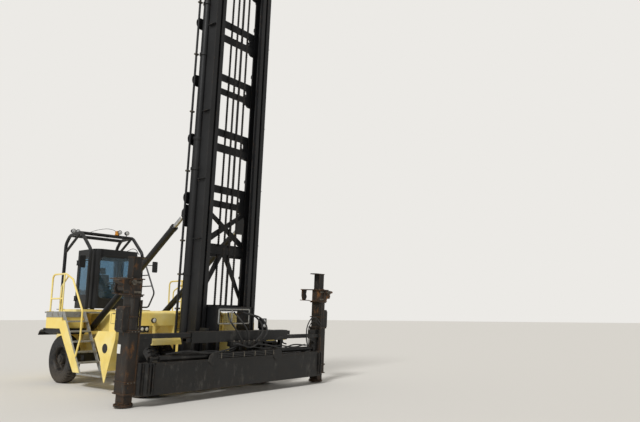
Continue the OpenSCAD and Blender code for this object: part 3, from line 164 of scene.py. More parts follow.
def painted(name, paint, faded, primer, rust, dirt, gloss, wear, rusted, dusty, splashed,
            scuffed=0.0):
    """Enamel sprayed on welded steel plate. It fades in broad patches, chips to primer and rust on
    edges and in specks, carries dust on top, run-off down its sides and splashes from the yard."""
    material, tree, place = start(name)
    fading = patches(tree, place, 0.9, 0.42, 0.68)
    colour = add(tree, "ShaderNodeMix", {0: fading, 6: paint, 7: faded}, 2, data_type="RGBA")
    # Run-off: thin upright streaks 50 mm wide
    streaks = patches(tree, place, 0.05, 0.56, 0.8, 5, (1, 1, 0.06))
    streaks = add(tree, "ShaderNodeMath", {0: streaks, 1: 0.55 * dusty}, operation="MULTIPLY",
                  use_clamp=True)
    colour = add(tree, "ShaderNodeMix", {0: streaks, 6: colour, 7: dirt}, 2, data_type="RGBA")
    # Dust on top and splashes below, in clouds 160 mm across
    cloud = patches(tree, place, 0.16, 0.3, 0.72, 6)
    top = add(tree, "ShaderNodeMath", {0: upward(tree), 1: dusty * 1.4}, operation="MULTIPLY",
              use_clamp=True)
    low = add(tree, "ShaderNodeMath", {0: near_ground(tree, place, 0.1, 1.3), 1: splashed},
              operation="MULTIPLY", use_clamp=True)
    film = add(tree, "ShaderNodeMath", {0: top, 1: low}, operation="MAXIMUM")
    film = add(tree, "ShaderNodeMath", {0: film, 1: cloud}, operation="MULTIPLY")
    colour = add(tree, "ShaderNodeMix", {0: film, 6: colour, 7: dirt}, 2, data_type="RGBA")
    # Pale scuffs 160 mm wide, drawn downwards, where containers have rubbed
    if scuffed:
        scuffs = patches(tree, place, 0.16, 0.53, 0.72, 10, (1, 1, 0.3), 0.75)
        scuffs = add(tree, "ShaderNodeMath", {0: scuffs, 1: scuffed}, operation="MULTIPLY")
        colour = add(tree, "ShaderNodeMix", {0: scuffs, 6: colour, 7: "#65625c"}, 2,
                     data_type="RGBA")
    # Chips 18 mm across, and edges rubbed bare in stretches of 70 mm
    specks = patches(tree, place, 0.018, 0.72 - 0.05 * wear, 0.76 - 0.05 * wear, 3)
    stretches = patches(tree, place, 0.07, 0.62 - 0.3 * wear, 0.74 - 0.3 * wear, 6)
    edges = add(tree, "ShaderNodeMath", {0: worn_edges(tree, 0.010), 1: stretches},
                operation="MULTIPLY")
    bare = add(tree, "ShaderNodeMath", {0: edges, 1: specks}, operation="MAXIMUM", use_clamp=True)
    chips = add(tree, "ShaderNodeMath", {0: bare, 1: 0.85 * min(1.0, 0.5 + wear)},
                operation="MULTIPLY")
    colour = add(tree, "ShaderNodeMix", {0: chips, 6: colour, 7: primer}, 2, data_type="RGBA")
    # Rust blooms 220 mm across, drawn downwards, and rust in the chips
    bloom = patches(tree, place, 0.22, 0.70 - 0.16 * rusted, 0.80 - 0.1 * rusted, 8,
                    (1, 1, 0.45), 0.7)
    bloom = add(tree, "ShaderNodeMath", {0: bloom, 1: rusted * 1.2}, operation="MULTIPLY",
                use_clamp=True)
    pits = patches(tree, place, 0.11, 0.45, 0.6)
    pits = add(tree, "ShaderNodeMath", {0: bare, 1: pits}, operation="MULTIPLY")
    rusty = add(tree, "ShaderNodeMath", {0: bloom, 1: pits}, operation="MAXIMUM")
    grain = add(tree, "ShaderNodeMix", {0: patches(tree, place, 0.012), 6: rust, 7: "#7d552b"}, 2,
                data_type="RGBA")
    colour = add(tree, "ShaderNodeMix", {0: rusty, 6: colour, 7: grain}, 2, data_type="RGBA")
    matt = add(tree, "ShaderNodeMath", {0: rusty, 1: film}, operation="MAXIMUM", use_clamp=True)
    roughness = add(tree, "ShaderNodeMapRange", {"Value": matt, "To Min": gloss, "To Max": 0.92})
    # Orange peel, drawn 6 mm wide so that it shows, and sunk where the coat is chipped away
    peel = patches(tree, place, 0.006, detail=2)
    relief = add(tree, "ShaderNodeMath", {0: bare, 1: -2.0, 2: peel}, operation="MULTIPLY_ADD")
    return dress(material, {"Base Color": colour, "Roughness": roughness,
                            "Specular IOR Level": 0.4}, relief, 0.0006)


# Machine yellow: a warm gloss coat, a little chalky, its chips showing grey primer
yellow_enamel = painted("yellow_enamel", paint="#f5da78", faded="#f8e69c", primer="#8f8672",
                        rust="#5b3519", dirt="#a9925f", gloss=0.36, wear=0.35, rusted=0.12,
                        dusty=0.3, splashed=0.35)
# Black gloss on the mast, dulled by dust and with brown at the edges of its plates
mast_enamel = painted("mast_enamel", paint="#131416", faded="#1c1d1f", primer="#4a453e",
                      rust="#46301f", dirt="#3f382f", gloss=0.42, wear=0.35, rusted=0.14,
                      dusty=0.3, splashed=0.3)
# The same black on the beam and arms, scuffed by containers
beam_enamel = painted("beam_enamel", paint="#0b0c0d", faded="#141516", primer="#4a4640",
                      rust="#3c2a1d", dirt="#3a332b", gloss=0.42, wear=0.5, rusted=0.16,
                      dusty=0.5, splashed=0.3, scuffed=0.45)
# Posts that have struck many containers: black left in fields between brown runs of rust
post_enamel = painted("post_enamel", paint="#141311", faded="#201c18", primer="#5b4630",
                      rust="#5f3c1e", dirt="#5c3e22", gloss=0.55, wear=0.8, rusted=0.75,
                      dusty=1.2, splashed=0.4, scuffed=0.3)
# Cast steel heads, mostly bare: matt brown rust with black left in the corners
worn_casting = painted("worn_casting", paint="#1d1a17", faded="#2e2721", primer="#6a5138",
                       rust="#6b4323", dirt="#5f4a33", gloss=0.6, wear=1.0, rusted=1.2,
                       dusty=0.6, splashed=0.5)
# The cab's black, kept cleaner and glossier than the mast
cab_enamel = painted("cab_enamel", paint="#141517", faded="#1d1f21", primer="#3f4042",
                     rust="#3a2c20", dirt="#55514a", gloss=0.34, wear=0.15, rusted=0.05,
                     dusty=0.35, splashed=0.0)
# Pressed steel rims: black under a coat of pale yard dust
rim_enamel = painted("rim_enamel", paint="#151617", faded="#202122", primer="#5c5750",
                     rust="#4f3622", dirt="#64584a", gloss=0.48, wear=0.4, rusted=0.25,
                     dusty=0.4, splashed=0.7)
# Grey iron of the engine, knuckles and levers: rough, dusty and browned by heat
cast_iron = painted("cast_iron", paint="#5f6160", faded="#77797a", primer="#8b8a84",
                    rust="#523a26", dirt="#8a775c", gloss=0.6, wear=0.5, rusted=0.5,
                    dusty=0.8, splashed=0.5)


def galvanised(name):
    """Hot-dip zinc on steel steps: grey crystals 17 mm across, dulled by weather and brightened on
    its edges by boots."""
    material, tree, place = start(name)
    fine = add(tree, "ShaderNodeMapping", {"Vector": place, "Scale": (60, 60, 60)})
    crystals = add(tree, "ShaderNodeTexVoronoi", {"Vector": fine}, "Color")
    shade = add(tree, "ShaderNodeSeparateColor", {0: crystals})
    colour = add(tree, "ShaderNodeMix", {0: shade, 6: "#8d8f8e", 7: "#b3b3ae"}, 2, data_type="RGBA")
    dulled = patches(tree, place, 0.13, 0.5, 0.75, 6)
    colour = add(tree, "ShaderNodeMix", {0: dulled, 6: colour, 7: "#7c6f5c"}, 2, data_type="RGBA")
    edges = add(tree, "ShaderNodeMath", {0: worn_edges(tree, 0.008), 1: 0.6}, operation="MULTIPLY")
    colour = add(tree, "ShaderNodeMix", {0: edges, 6: colour, 7: "#d2d0c8"}, 2, data_type="RGBA")
    return dress(material, {"Base Color": colour, "Metallic": 0.55, "Roughness": 0.6},
                 patches(tree, place, 0.02), 0.0008)


def vulcanised(name):
    """Rubber cured in a mould: charcoal greyed by sun, matt, with pale yard dust in its tread."""
    material, tree, place = start(name)
    greyed = patches(tree, place, 0.3)
    colour = add(tree, "ShaderNodeMix", {0: greyed, 6: "#19191a", 7: "#252526"}, 2,
                 data_type="RGBA")
    dust = add(tree, "ShaderNodeMath", {0: patches(tree, place, 0.06, 0.42, 0.7, 8), 1: 0.25},
               operation="MULTIPLY")
    colour = add(tree, "ShaderNodeMix", {0: dust, 6: colour, 7: "#5c5349"}, 2, data_type="RGBA")
    low = add(tree, "ShaderNodeMath", {0: near_ground(tree, place, 0.0, 0.5), 1: 0.3},
              operation="MULTIPLY")
    colour = add(tree, "ShaderNodeMix", {0: low, 6: colour, 7: "#766752"}, 2, data_type="RGBA")
    return dress(material, {"Base Color": colour, "Roughness": 0.82, "IOR": 1.52},
                 patches(tree, place, 0.01, detail=6), 0.0012)


def chromed(name):
    """Hard chrome on a ground rod: a bright mirror under a film of oil and fine dust."""
    material, tree, place = start(name)
    film = patches(tree, place, 0.08, 0.4, 0.75, 6, (1, 1, 0.2))
    colour = add(tree, "ShaderNodeMix", {0: film, 6: "#c9ccd0", 7: "#9a948a"}, 2, data_type="RGBA")
    roughness = add(tree, "ShaderNodeMapRange", {"Value": film, "To Min": 0.1, "To Max": 0.35})
    return dress(material, {"Base Color": colour, "Metallic": 1.0, "Roughness": roughness})


def glazed(name, tint, rough, through):
    """Drawn glass or a moulded lens: clear, with soft patches 250 mm across dulled by dust."""
    material, tree, place = start(name)
    film = patches(tree, place, 0.25, 0.45, 0.8, 6)
    veil = add(tree, "ShaderNodeMath", {0: film, 1: 0.25}, operation="MULTIPLY")
    colour = add(tree, "ShaderNodeMix", {0: veil, 6: tint, 7: "#b9b3a6"}, 2, data_type="RGBA")
    roughness = add(tree, "ShaderNodeMapRange",
                    {"Value": film, "To Min": rough, "To Max": rough + 0.12})
    return dress(material, {"Base Color": colour, "Roughness": roughness,
                            "Transmission Weight": through, "IOR": 1.45})


def linked(name):
    """Leaf chain of punched steel plates 50 mm long, black with grease that has caught dust: bands
    of dull metal with painted shade, soft and black, in the gaps between them."""
    material, tree, place = start(name)
    plates = add(tree, "ShaderNodeTexWave", {"Vector": place, "Scale": 6.28}, "Fac",
                 bands_direction="Z")
    # Painted shade: the gaps between the bands are drawn near black, as shade between the plates
    face = add(tree, "ShaderNodeMapRange", {"Value": plates, "From Min": 0.1, "From Max": 0.4})
    colour = add(tree, "ShaderNodeMix", {0: face, 6: "#0a0a0b", 7: "#1e1d1f"}, 2, data_type="RGBA")
    dust = patches(tree, place, 0.05, 0.45, 0.75, 6)
    colour = add(tree, "ShaderNodeMix", {0: dust, 6: colour, 7: "#3d362d"}, 2, data_type="RGBA")
    return dress(material, {"Base Color": colour, "Metallic": 0.5, "Roughness": 0.38}, face, 0.004)


def turned_steel(name):
    """Turned and rolled steel of bolts, pins and locks: dull grey, darkened in patches by oil and
    dust."""
    material, tree, place = start(name)
    oil = patches(tree, place, 0.05, 0.35, 0.7, 6)
    colour = add(tree, "ShaderNodeMix", {0: oil, 6: "#57534c", 7: "#7b756a"}, 2, data_type="RGBA")
    return dress(material, {"Base Color": colour, "Metallic": 0.7, "Roughness": 0.5},
                 patches(tree, place, 0.015), 0.0008)


def moulded(name, dark, light, rough):
    """Moulded plastic or rubber: one even tone with a faint cloud in it, and a grain that is drawn
    2 mm across so that it shows."""
    material, tree, place = start(name)
    cloud, grain = patches(tree, place, 0.25), patches(tree, place, 0.002, detail=2)
    colour = add(tree, "ShaderNodeMix", {0: cloud, 6: dark, 7: light}, 2, data_type="RGBA")
    return dress(material, {"Base Color": colour, "Roughness": rough}, grain, 0.0004)


def woven(name):
    """The seat's woven cover: crossed threads, drawn 6 mm wide so that they show, under a soft
    sheen."""
    material, tree, place = start(name)
    warp, weft = (add(tree, "ShaderNodeTexWave", {"Vector": place, "Scale": 52.0}, "Fac",
                      bands_direction=along) for along in "XY")
    threads = add(tree, "ShaderNodeMath", {0: warp, 1: weft}, operation="MULTIPLY")
    colour = add(tree, "ShaderNodeMix", {0: threads, 6: "#1f2023", 7: "#3c3d41"}, 2,
                 data_type="RGBA")
    return dress(material, {"Base Color": colour, "Roughness": 0.9, "Sheen Weight": 0.3}, threads,
                 0.0006)


galvanised_steel = galvanised("galvanised_steel")
tread_rubber = vulcanised("tread_rubber")
ground_chrome = chromed("ground_chrome")
# Laminated cab glass, blue in daylight
tinted_glass = glazed("tinted_glass", "#8fb0c4", 0.03, 0.92)
# Ribbed clear and amber lenses: bright, with light held in their thickness
lamp_glass = glazed("lamp_glass", "#f2f4f4", 0.12, 0.35)
amber_lens = glazed("amber_lens", "#e8a13c", 0.15, 0.5)
chain_steel = linked("chain_steel")
bare_steel = turned_steel("bare_steel")
# Hydraulic hose and window seals, dull black, and lamp housings, a little greyer
hose_rubber = moulded("hose_rubber", "#141415", "#242322", 0.5)
trim_plastic = moulded("trim_plastic", "#1a1b1c", "#27282a", 0.6)
# Blank white plate, a little yellowed
plate_enamel = moulded("plate_enamel", "#e6e7e4", "#d2d2cd", 0.45)
seat_cloth = woven("seat_cloth")

FINISHES = {
    yellow_enamel: ["chassis_frame", "counterweight", "hood", "side_boxes", "handrails",
                    "front_fenders", "rear_decks"],
    mast_enamel: ["drive_axle", "steer_axle", "mast_rails", "mast_plates", "lift_barrels",
                  "mast_pipes", "inner_mast", "carriage", "wheel_arches", "tilt_barrel_r",
                  "tilt_barrel_l"],
    beam_enamel: ["spreader_frame", "main_beam", "arm_r", "arm_l"],
    post_enamel: ["post_r", "post_l"],
    worn_casting: ["head_r", "head_l"],
    cab_enamel: ["cab_shell", "cab_guard", "door_r", "door_l"],
    rim_enamel: ["drive_rims_r", "drive_rims_l", "steer_rim_r", "steer_rim_l"],
    galvanised_steel: ["stairs"],
    tread_rubber: ["drive_tyres_r", "drive_tyres_l", "steer_tyre_r", "steer_tyre_l"],
    ground_chrome: ["lift_rods", "tilt_rod_r", "tilt_rod_l"],
    tinted_glass: ["cab_glass", "door_glass_r", "door_glass_l"],
    chain_steel: ["lift_chains", "chain_returns"],
    bare_steel: ["twistlock_r", "twistlock_l"],
    trim_plastic: ["cab_interior", "work_lamps"],
    cast_iron: ["engine_block", "knuckle_r", "knuckle_l"],
}
for finish, names in FINISHES.items():
    for name in names:
        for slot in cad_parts[name].material_slots:
            slot.material = finish


# Ways of making fine pieces ---------------------------------------------------------------


def edit(piece):
    """Goes into edit mode on the piece's faces, with none selected."""
    select_only(piece)
    bpy.ops.object.mode_set(mode="EDIT")
    bpy.ops.mesh.select_mode(type="FACE")
    bpy.ops.mesh.select_all(action="DESELECT")


def pick(piece, wanted):
    """In edit mode, selects the faces whose middle and normal pass the test."""
    bpy.ops.mesh.select_all(action="DESELECT")
    mesh = bmesh.from_edit_mesh(piece.data)
    for face in mesh.faces:
        face.select_set(bool(wanted(face.calc_center_median(), face.normal)))
    bmesh.update_edit_mesh(piece.data)


def turned(profile, sides=48):
    """A round solid along Z: a disc pushed out and scaled ring by ring through the profile's
    (radius, height) pairs."""
    radius, level = profile[0]
    deselect()
    bpy.ops.mesh.primitive_circle_add(vertices=sides, radius=radius, fill_type="NGON")
    piece = bpy.context.object
    edit(piece)
    bpy.ops.mesh.select_all(action="SELECT")
    bpy.ops.transform.translate(value=(0, 0, level))
    for wide, high in profile[1:]:
        bpy.ops.mesh.extrude_region_move(TRANSFORM_OT_translate={"value": (0, 0, high - level)})
        bpy.ops.transform.resize(value=(wide / radius, wide / radius, 1), center_override=(0, 0, 0))
        radius, level = wide, high
    bpy.ops.mesh.select_all(action="SELECT")
    bpy.ops.mesh.normals_make_consistent(inside=False)
    bpy.ops.object.mode_set(mode="OBJECT")
    return piece


def box(low, high, bevel=None, segments=1):
    """A block between two corners, its edges rounded by bevel metres, or by a tenth of its least
    side."""
    deselect()
    size = [b - a for a, b in zip(low, high)]
    middle = [(a + b) / 2 for a, b in zip(low, high)]
    bpy.ops.mesh.primitive_cube_add(size=1, scale=size, location=middle)
    piece = bpy.context.object
    bpy.ops.object.transform_apply(location=True, scale=True)
    edit(piece)
    bpy.ops.mesh.select_all(action="SELECT")
    bpy.ops.mesh.bevel(offset=min(size) * 0.1 if bevel is None else bevel, segments=segments)
    bpy.ops.object.mode_set(mode="OBJECT")
    return piece


def hose(points, radius, closed=False):
    """A round hose or cable laid through points in one smooth curve, as a mesh."""
    deselect()
    bpy.ops.curve.primitive_bezier_curve_add()
    piece = bpy.context.object
    spline = piece.data.splines[0]
    spline.bezier_points.add(len(points) - len(spline.bezier_points))
    spline.use_cyclic_u = closed
    for knot, point in zip(spline.bezier_points, points):
        knot.co = point
        knot.handle_left_type = knot.handle_right_type = "AUTO"
    piece.data.bevel_depth = radius
    piece.data.bevel_resolution = 2
    piece.data.resolution_u = 7
    piece.data.use_fill_caps = True
    bpy.ops.object.convert(target="MESH")
    return bpy.context.object


def copied(piece, at=(0, 0, 0)):
    """A copy of a modelled piece with its own mesh, moved by at."""
    select_only(piece)
    bpy.ops.object.duplicate(linked=False)
    copy = bpy.context.object
    copy.data.transform(Matrix.Translation(at))
    return copy


def joined(pieces):
    """One piece made of several, which are used up."""
    select_only(*pieces)
    bpy.ops.object.join()
    return bpy.context.object


def repeated(piece, places):
    """One mesh with a copy of a modelled piece at each place; the model itself is used up."""
    copies = [copied(piece, at) for at in places]
    bpy.data.objects.remove(piece)
    return joined(copies)


def stand(piece, at, axis=(0, 0, 1)):
    """Turns a piece's Z to an axis and puts its origin at a place."""
    spin = Vector(axis).to_track_quat("Z", "Y").to_matrix().to_4x4()
    piece.data.transform(Matrix.Translation(at) @ spin)
    return piece


def ring(count, radius):
    """The (x, y) of places spread evenly on a circle."""
    angles = [math.tau * k / count for k in range(count)]
    return [(radius * math.cos(angle), radius * math.sin(angle)) for angle in angles]


def low_high(s, inner, outer):
    """The two X values of a piece between inner and outer on side s, the lower one first."""
    return sorted((s * inner, s * outer))


def heads(places, radius, depth, axis=(0, 0, 1), sides=6):
    """Bolt heads with a chamfered top, standing on their places along an axis."""
    head = turned([(radius, -depth / 2), (radius, depth * 0.32), (radius * 0.86, depth / 2)], sides)
    return repeated(stand(head, (0, 0, 0), axis), places)


def put(piece, name, finish, body, place=in_frame, angle=35, instead=()):
    """Names, paints and smooths a piece, then hangs it on the body that it moves with. It stands
    for the CAD nodes that instead names."""
    piece.name = piece.data.name = name
    piece.data.materials.append(finish)
    select_only(piece)
    bpy.ops.object.shade_smooth_by_angle(angle=math.radians(angle))
    place(piece)
    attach(piece, body)
    for node in instead:
        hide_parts(node)


# Wheels -----------------------------------------------------------------------------------

TYRE_W = 0.315
# Lugs on each shoulder, and the depth of the slots between them. They are cut down to the radius
# SLOT_R, and leave a rib in the middle that is RIB wide on each side
LUGS, SLOT_DEPTH, SLOT_R, RIB = 40, 0.024, 0.57, 0.023
# Half of a tyre's section from the crown to the bead: radius, distance from the middle
SECTION = [(0.614, 0.022), (0.613, 0.085), (0.606, 0.118), (0.590, 0.134), (0.566, 0.1450),
           (0.535, 0.1505), (0.531, 0.1545), (0.512, 0.1560), (0.507, 0.1535), (0.455, 0.1545),
           (0.400, 0.1480), (0.360, 0.1380), (0.337, 0.1290), (0.318, 0.1180)]


def tyre():
    """An industrial tyre about Z: a turned section, with slots cut from each shoulder to the rib in
    the middle, set half a pitch apart on the two sides."""
    profile = [(r, -w) for r, w in reversed(SECTION)] + SECTION
    # Each pitch, a lug and its slot, has four faces round the tyre
    piece = turned(profile, LUGS * 4)
    edit(piece)
    # The two end discs give way to the bore
    pick(piece, lambda middle, normal: middle.xy.length < 0.05)
    bpy.ops.mesh.bridge_edge_loops()

    def in_slot(middle, normal):
        step = int(math.degrees(math.atan2(middle.y, middle.x)) % 360 / (90 / LUGS))
        return (step % 4 == (0 if middle.z > 0 else 2) and abs(middle.z) > RIB
                and middle.xy.length > SLOT_R)

    pick(piece, in_slot)
    bpy.ops.mesh.extrude_region_shrink_fatten(TRANSFORM_OT_shrink_fatten={"value": -SLOT_DEPTH})
    bpy.ops.mesh.select_all(action="SELECT")
    bpy.ops.mesh.normals_make_consistent(inside=False)
    bpy.ops.object.mode_set(mode="OBJECT")
    return piece


# Depth of a rim's zero height inside its tyre's outer face, and the section of the rim's rolled
# flange: radius, height
RIM_INSET = 0.026
FLANGE = [(0.300, -0.05), (0.316, -0.040), (0.336, -0.012), (0.339, 0.002), (0.334, 0.006),
          (0.322, -0.004), (0.306, -0.030), (0.300, -0.052)]
NUTS, NUT_CIRCLE = 10, 0.205


def rim(disc, hub, hub_r):
    """A rim about Z with its rolled flange, its nuts, and a hub of radius hub_r. Disc and hub give
    the heights of their faces."""
    shell = turned([(0.296, -0.29)] + FLANGE + [(0.290, disc + 0.02), (0.262, disc), (0.180, disc),
                                                (0.172, disc + 0.006)], 64)
    boss = turned([(hub_r, disc - 0.01), (hub_r, hub - 0.05), (hub_r * 0.94, hub - 0.03),
                   (hub_r * 0.62, hub - 0.024), (hub_r * 0.58, hub - 0.004), (hub_r * 0.5, hub),
                   (hub_r * 0.2, hub + 0.002)], 48)
    nuts = ring(NUTS, NUT_CIRCLE)
    bolts = heads([(x, y, disc + 0.014) for x, y in nuts], 0.019, 0.03)
    washers = heads([(x, y, disc + 0.003) for x, y in nuts], 0.027, 0.008, sides=20)
    caps = heads([(x, y, hub - 0.024) for x, y in ring(NUTS, hub_r * 0.82)], 0.009, 0.014)
    return joined([bolts, washers, caps, boss, shell])


tyre_model = tyre()
# After the name come X of the tyre's outer face, the axle's Y and the body it turns with, then the
# heights of the rim's disc and hub and the hub's radius
for side, s in SIDES:
    outward = (s, 0, 0)
    for tag, x, y, body, disc, hub, hub_r in (
            ("drive_outer", 2.05, DRIVE_Y, "drive_wheel_", -0.25, -0.06, 0.15),
            ("drive_inner", 1.675, DRIVE_Y, "drive_wheel_", -0.06, -0.02, 0.15),
            ("steer", 1.79, STEER_Y, "steer_wheel_", -0.15, 0.02, 0.14)):
        plain = ("steer_tyre_", "steer_rim_") if tag == "steer" else ("drive_tyres_", "drive_rims_")
        rubber = stand(copied(tyre_model), (s * (x - TYRE_W / 2), y, AXLE_Z), outward)
        put(rubber, f"{tag}_tyre_{side}", tread_rubber, body + side, angle=30,
            instead=[plain[0] + side])
        metal = stand(rim(disc, hub, hub_r), (s * (x - RIM_INSET), y, AXLE_Z), outward)
        put(metal, f"{tag}_rim_{side}", rim_enamel, body + side, instead=[plain[1] + side])
bpy.data.objects.remove(tyre_model)

# Lamps ------------------------------------------------------------------------------------


def lens(name, at, radius):
    """A round lamp's domed glass in its rolled bezel, its back on the housing at a place."""
    bezel = turned([(radius * 1.12, 0), (radius * 1.12, 0.010), (radius * 1.04, 0.014),
                    (radius, 0.010), (radius * 0.97, 0.004)], 32)
    put(stand(bezel, at, FORWARD), name + "_bezel", trim_plastic, "chassis")
    glass = turned([(radius * 0.97, 0.003), (radius * 0.93, 0.009), (radius * 0.7, 0.015),
                    (radius * 0.35, 0.018), (radius * 0.1, 0.019)], 32)
    put(stand(glass, at, FORWARD), name, lamp_glass, "chassis", angle=50)


# Three in the box under the right side box, one on each side box, four on the guard and two over
# the left fender
for k in range(3):
    lens(f"low_lamp_{k}", (-1.79 + 0.12 * k, 1.4197, 1.445), 0.044)
for side, s in SIDES:
    lens("front_lamp_" + side, (s * 1.39, 1.37, 1.64), 0.05)
for k, at in enumerate([(-0.80, 6.655, 4.300), (-0.66, 6.655, 4.300), (0.38, 6.015, 4.330),
                        (0.64, 6.015, 4.330)]):
    lens(f"guard_lamp_{k}", at, 0.061)
for k, z in enumerate((1.50, 1.62)):
    lens(f"fender_lamp_{k}", (1.405, 0.55, z), 0.052)
# Amber beacon on the guard
beacon = turned([(0.060, 0), (0.060, 0.03), (0.054, 0.034), (0.052, 0.11), (0.046, 0.128),
                 (0.02, 0.136)], 32)
put(stand(beacon, (0.30, 6.06, 4.235)), "beacon", amber_lens, "chassis")

# Spreader ---------------------------------------------------------------------------------

# Bundle of steel pipes along the beam between two arched brackets, held by straps
pipe = hose([(-0.92, -0.352, 0.925), (-0.40, -0.354, 0.925), (0.2, -0.352, 0.925),
             (0.86, -0.353, 0.925)], 0.013)
put(repeated(pipe, [(0, 0, 0.035 * k) for k in range(3)]), "beam_pipes", hose_rubber, "spreader",
    leaned)
strap = box((0, -0.370, 0.902), (0.024, -0.336, 1.016), 0.003)
put(repeated(strap, [(x, 0, 0) for x in (-0.84, -0.5, -0.16, 0.18, 0.52, 0.8)]), "pipe_straps",
    bare_steel, "spreader", leaned)
# Arched brackets that stand up over the beam's top edge: discs, a little flattened
arch = turned([(0.15, 0), (0.15, 0.014)], 24)
edit(arch)
bpy.ops.mesh.select_all(action="SELECT")
bpy.ops.transform.resize(value=(1.0, 0.92, 1), center_override=(0, 0, 0))
bpy.ops.object.mode_set(mode="OBJECT")
arch = stand(arch, (0, -0.342, 0.90), FORWARD)
put(repeated(arch, [(-1.02, 0, 0), (0.98, 0, 0)]), "arch_brackets", beam_enamel, "spreader",
    leaned)
# Hoses from the middle out to both extension cylinders and up to the carriage
runs = [
    [(-0.20, -0.16, 1.10), (-0.55, -0.30, 1.03), (-1.10, -0.31, 1.06), (-1.62, -0.30, 1.05),
     (-2.05, -0.30, 1.07)],
    [(-0.15, -0.18, 1.15), (-0.62, -0.33, 1.08), (-1.20, -0.34, 1.03), (-1.75, -0.33, 1.09),
     (-2.20, -0.25, 1.04)],
    [(0.10, -0.16, 1.12), (0.50, -0.32, 1.06), (1.05, -0.30, 1.10), (1.55, -0.33, 1.05),
     (2.05, -0.28, 1.09)],
    [(0.18, -0.20, 1.18), (0.70, -0.34, 1.12), (1.15, -0.33, 1.04), (1.60, -0.28, 1.10),
     (2.20, -0.20, 1.06)],
    [(-0.35, -0.14, 1.20), (-0.20, -0.30, 1.16), (0.05, -0.33, 1.10), (0.30, -0.30, 1.17),
     (0.42, -0.12, 1.22)],
    [(0.45, -0.14, 1.24), (0.80, -0.30, 1.20), (1.10, -0.34, 1.30), (1.20, -0.28, 1.18),
     (1.42, -0.20, 1.12)],
]
put(joined([hose(run, 0.017) for run in runs]), "beam_hoses", hose_rubber, "spreader", leaned)
drops = [
    [(-0.30, 0.10, 1.86), (-0.42, -0.10, 1.72), (-0.30, -0.22, 1.48), (-0.12, -0.24, 1.24)],
    [(-0.12, 0.10, 1.88), (-0.10, -0.14, 1.70), (0.02, -0.25, 1.46), (0.10, -0.22, 1.22)],
    [(0.16, 0.10, 1.88), (0.42, -0.12, 1.76), (0.50, -0.26, 1.46), (0.30, -0.24, 1.22)],
    [(0.34, 0.10, 1.86), (0.66, -0.10, 1.70), (0.64, -0.26, 1.40), (0.46, -0.22, 1.22)],
]
put(joined([hose(drop, 0.020) for drop in drops]), "carriage_hoses", hose_rubber, "spreader",
    leaned)
# Valve block with its slices and hose fittings, in the middle of the upper sleeve
block = box((-0.46, -0.235, 1.12), (0.50, -0.10, 1.24), 0.008)
valve = box((-0.42, -0.262, 1.15), (-0.33, -0.23, 1.21), 0.006)
VALVE_PITCH = 0.156
valves = repeated(valve, [(VALVE_PITCH * k, 0, 0) for k in range(6)])
put(joined([block, valves]), "valve_block", beam_enamel, "spreader", leaned)
fittings = heads([(-0.38 + VALVE_PITCH * k, -0.25, 1.245) for k in range(6)], 0.018, 0.03)
put(fittings, "hose_fittings", bare_steel, "spreader", leaned)
# Frame of light tube with a fine mesh behind it, on the carriage
rail = box((-0.56, 0.125, 1.60), (0.42, 0.150, 1.628), 0.004)
rails = repeated(rail, [(0, 0, 0), (0, 0, 0.33)])
upright = box((-0.56, 0.125, 1.60), (-0.532, 0.150, 1.958), 0.004)
uprights = repeated(upright, [(0, 0, 0), (0.4, 0, 0), (0.952, 0, 0)])
put(joined([rails, uprights]), "mesh_frame", galvanised_steel, "carriage", leaned)
wire = box((-0.55, 0.140, 1.64), (0.41, 0.144, 1.644))
across = repeated(wire, [(0, 0, 0.05 * k) for k in range(6)])
wire = box((-0.55, 0.136, 1.61), (-0.546, 0.140, 1.95))
down = repeated(wire, [(0.05 * k, 0, 0) for k in range(20)])
put(joined([across, down]), "mesh_wires", mast_enamel, "carriage", leaned)

# Arms and posts ---------------------------------------------------------------------------

# X of the posts' middle
POST_X = 2.905
for side, s in SIDES:
    arm, head = "arm_" + side, "head_" + side
    # Bolts of the collars and of the valve cover
    rows = [(s * x, -0.175, z) for x in (2.83, 2.90, 2.97) for z in (0.525, 1.495)]
    put(heads(rows, 0.013, 0.012, FORWARD), "collar_bolts_" + side, bare_steel, arm, leaned)
    rows = [(s * 3.162, y, z) for y in (-0.06, 0.12) for z in (1.56, 1.72, 1.88)]
    put(heads(rows, 0.012, 0.012, (s, 0, 0)), "cover_bolts_" + side, bare_steel, arm, leaned)
    # Wear pads and adjusting screws on the head's sleeve
    pad = box((s * POST_X - 0.10, -0.118, 2.23), (s * POST_X + 0.10, -0.092, 2.28), 0.005)
    put(repeated(pad, [(0, 0, 0), (0, 0, 0.2)]), "sleeve_pads_" + side, bare_steel, head, leaned)
    studs = [(s * (POST_X + dx), 0.03 + dy, 2.536) for dx in (-0.09, 0.09) for dy in (-0.09, 0.09)]
    studs += [(s * 3.12, 0.02 + 0.1 * k, 2.536) for k in range(3)]
    put(heads(studs, 0.016, 0.018), "head_bolts_" + side, bare_steel, head, leaned)
    # Inner length of the slide tube, with its open end. It starts where the solid ends, past the
    # middle of its sleeve, and is long enough to stay inside at full reach. The right arm's tube
    # lies over the left one's
    low = 1.35 if side == "r" else 1.245
    inner, outer = low_high(-s, 0.30, 1.62)
    slide = box((inner, -0.130, low), (outer, 0.020, low + 0.090), 0.003)
    edit(slide)
    pick(slide, lambda middle, normal: normal.x * s < -0.9)
    bpy.ops.mesh.inset(thickness=0.009)
    bpy.ops.mesh.extrude_region_move(TRANSFORM_OT_translate={"value": (s * 0.15, 0, 0)})
    bpy.ops.object.mode_set(mode="OBJECT")
    put(slide, "slide_tube_" + side, beam_enamel, arm, leaned)
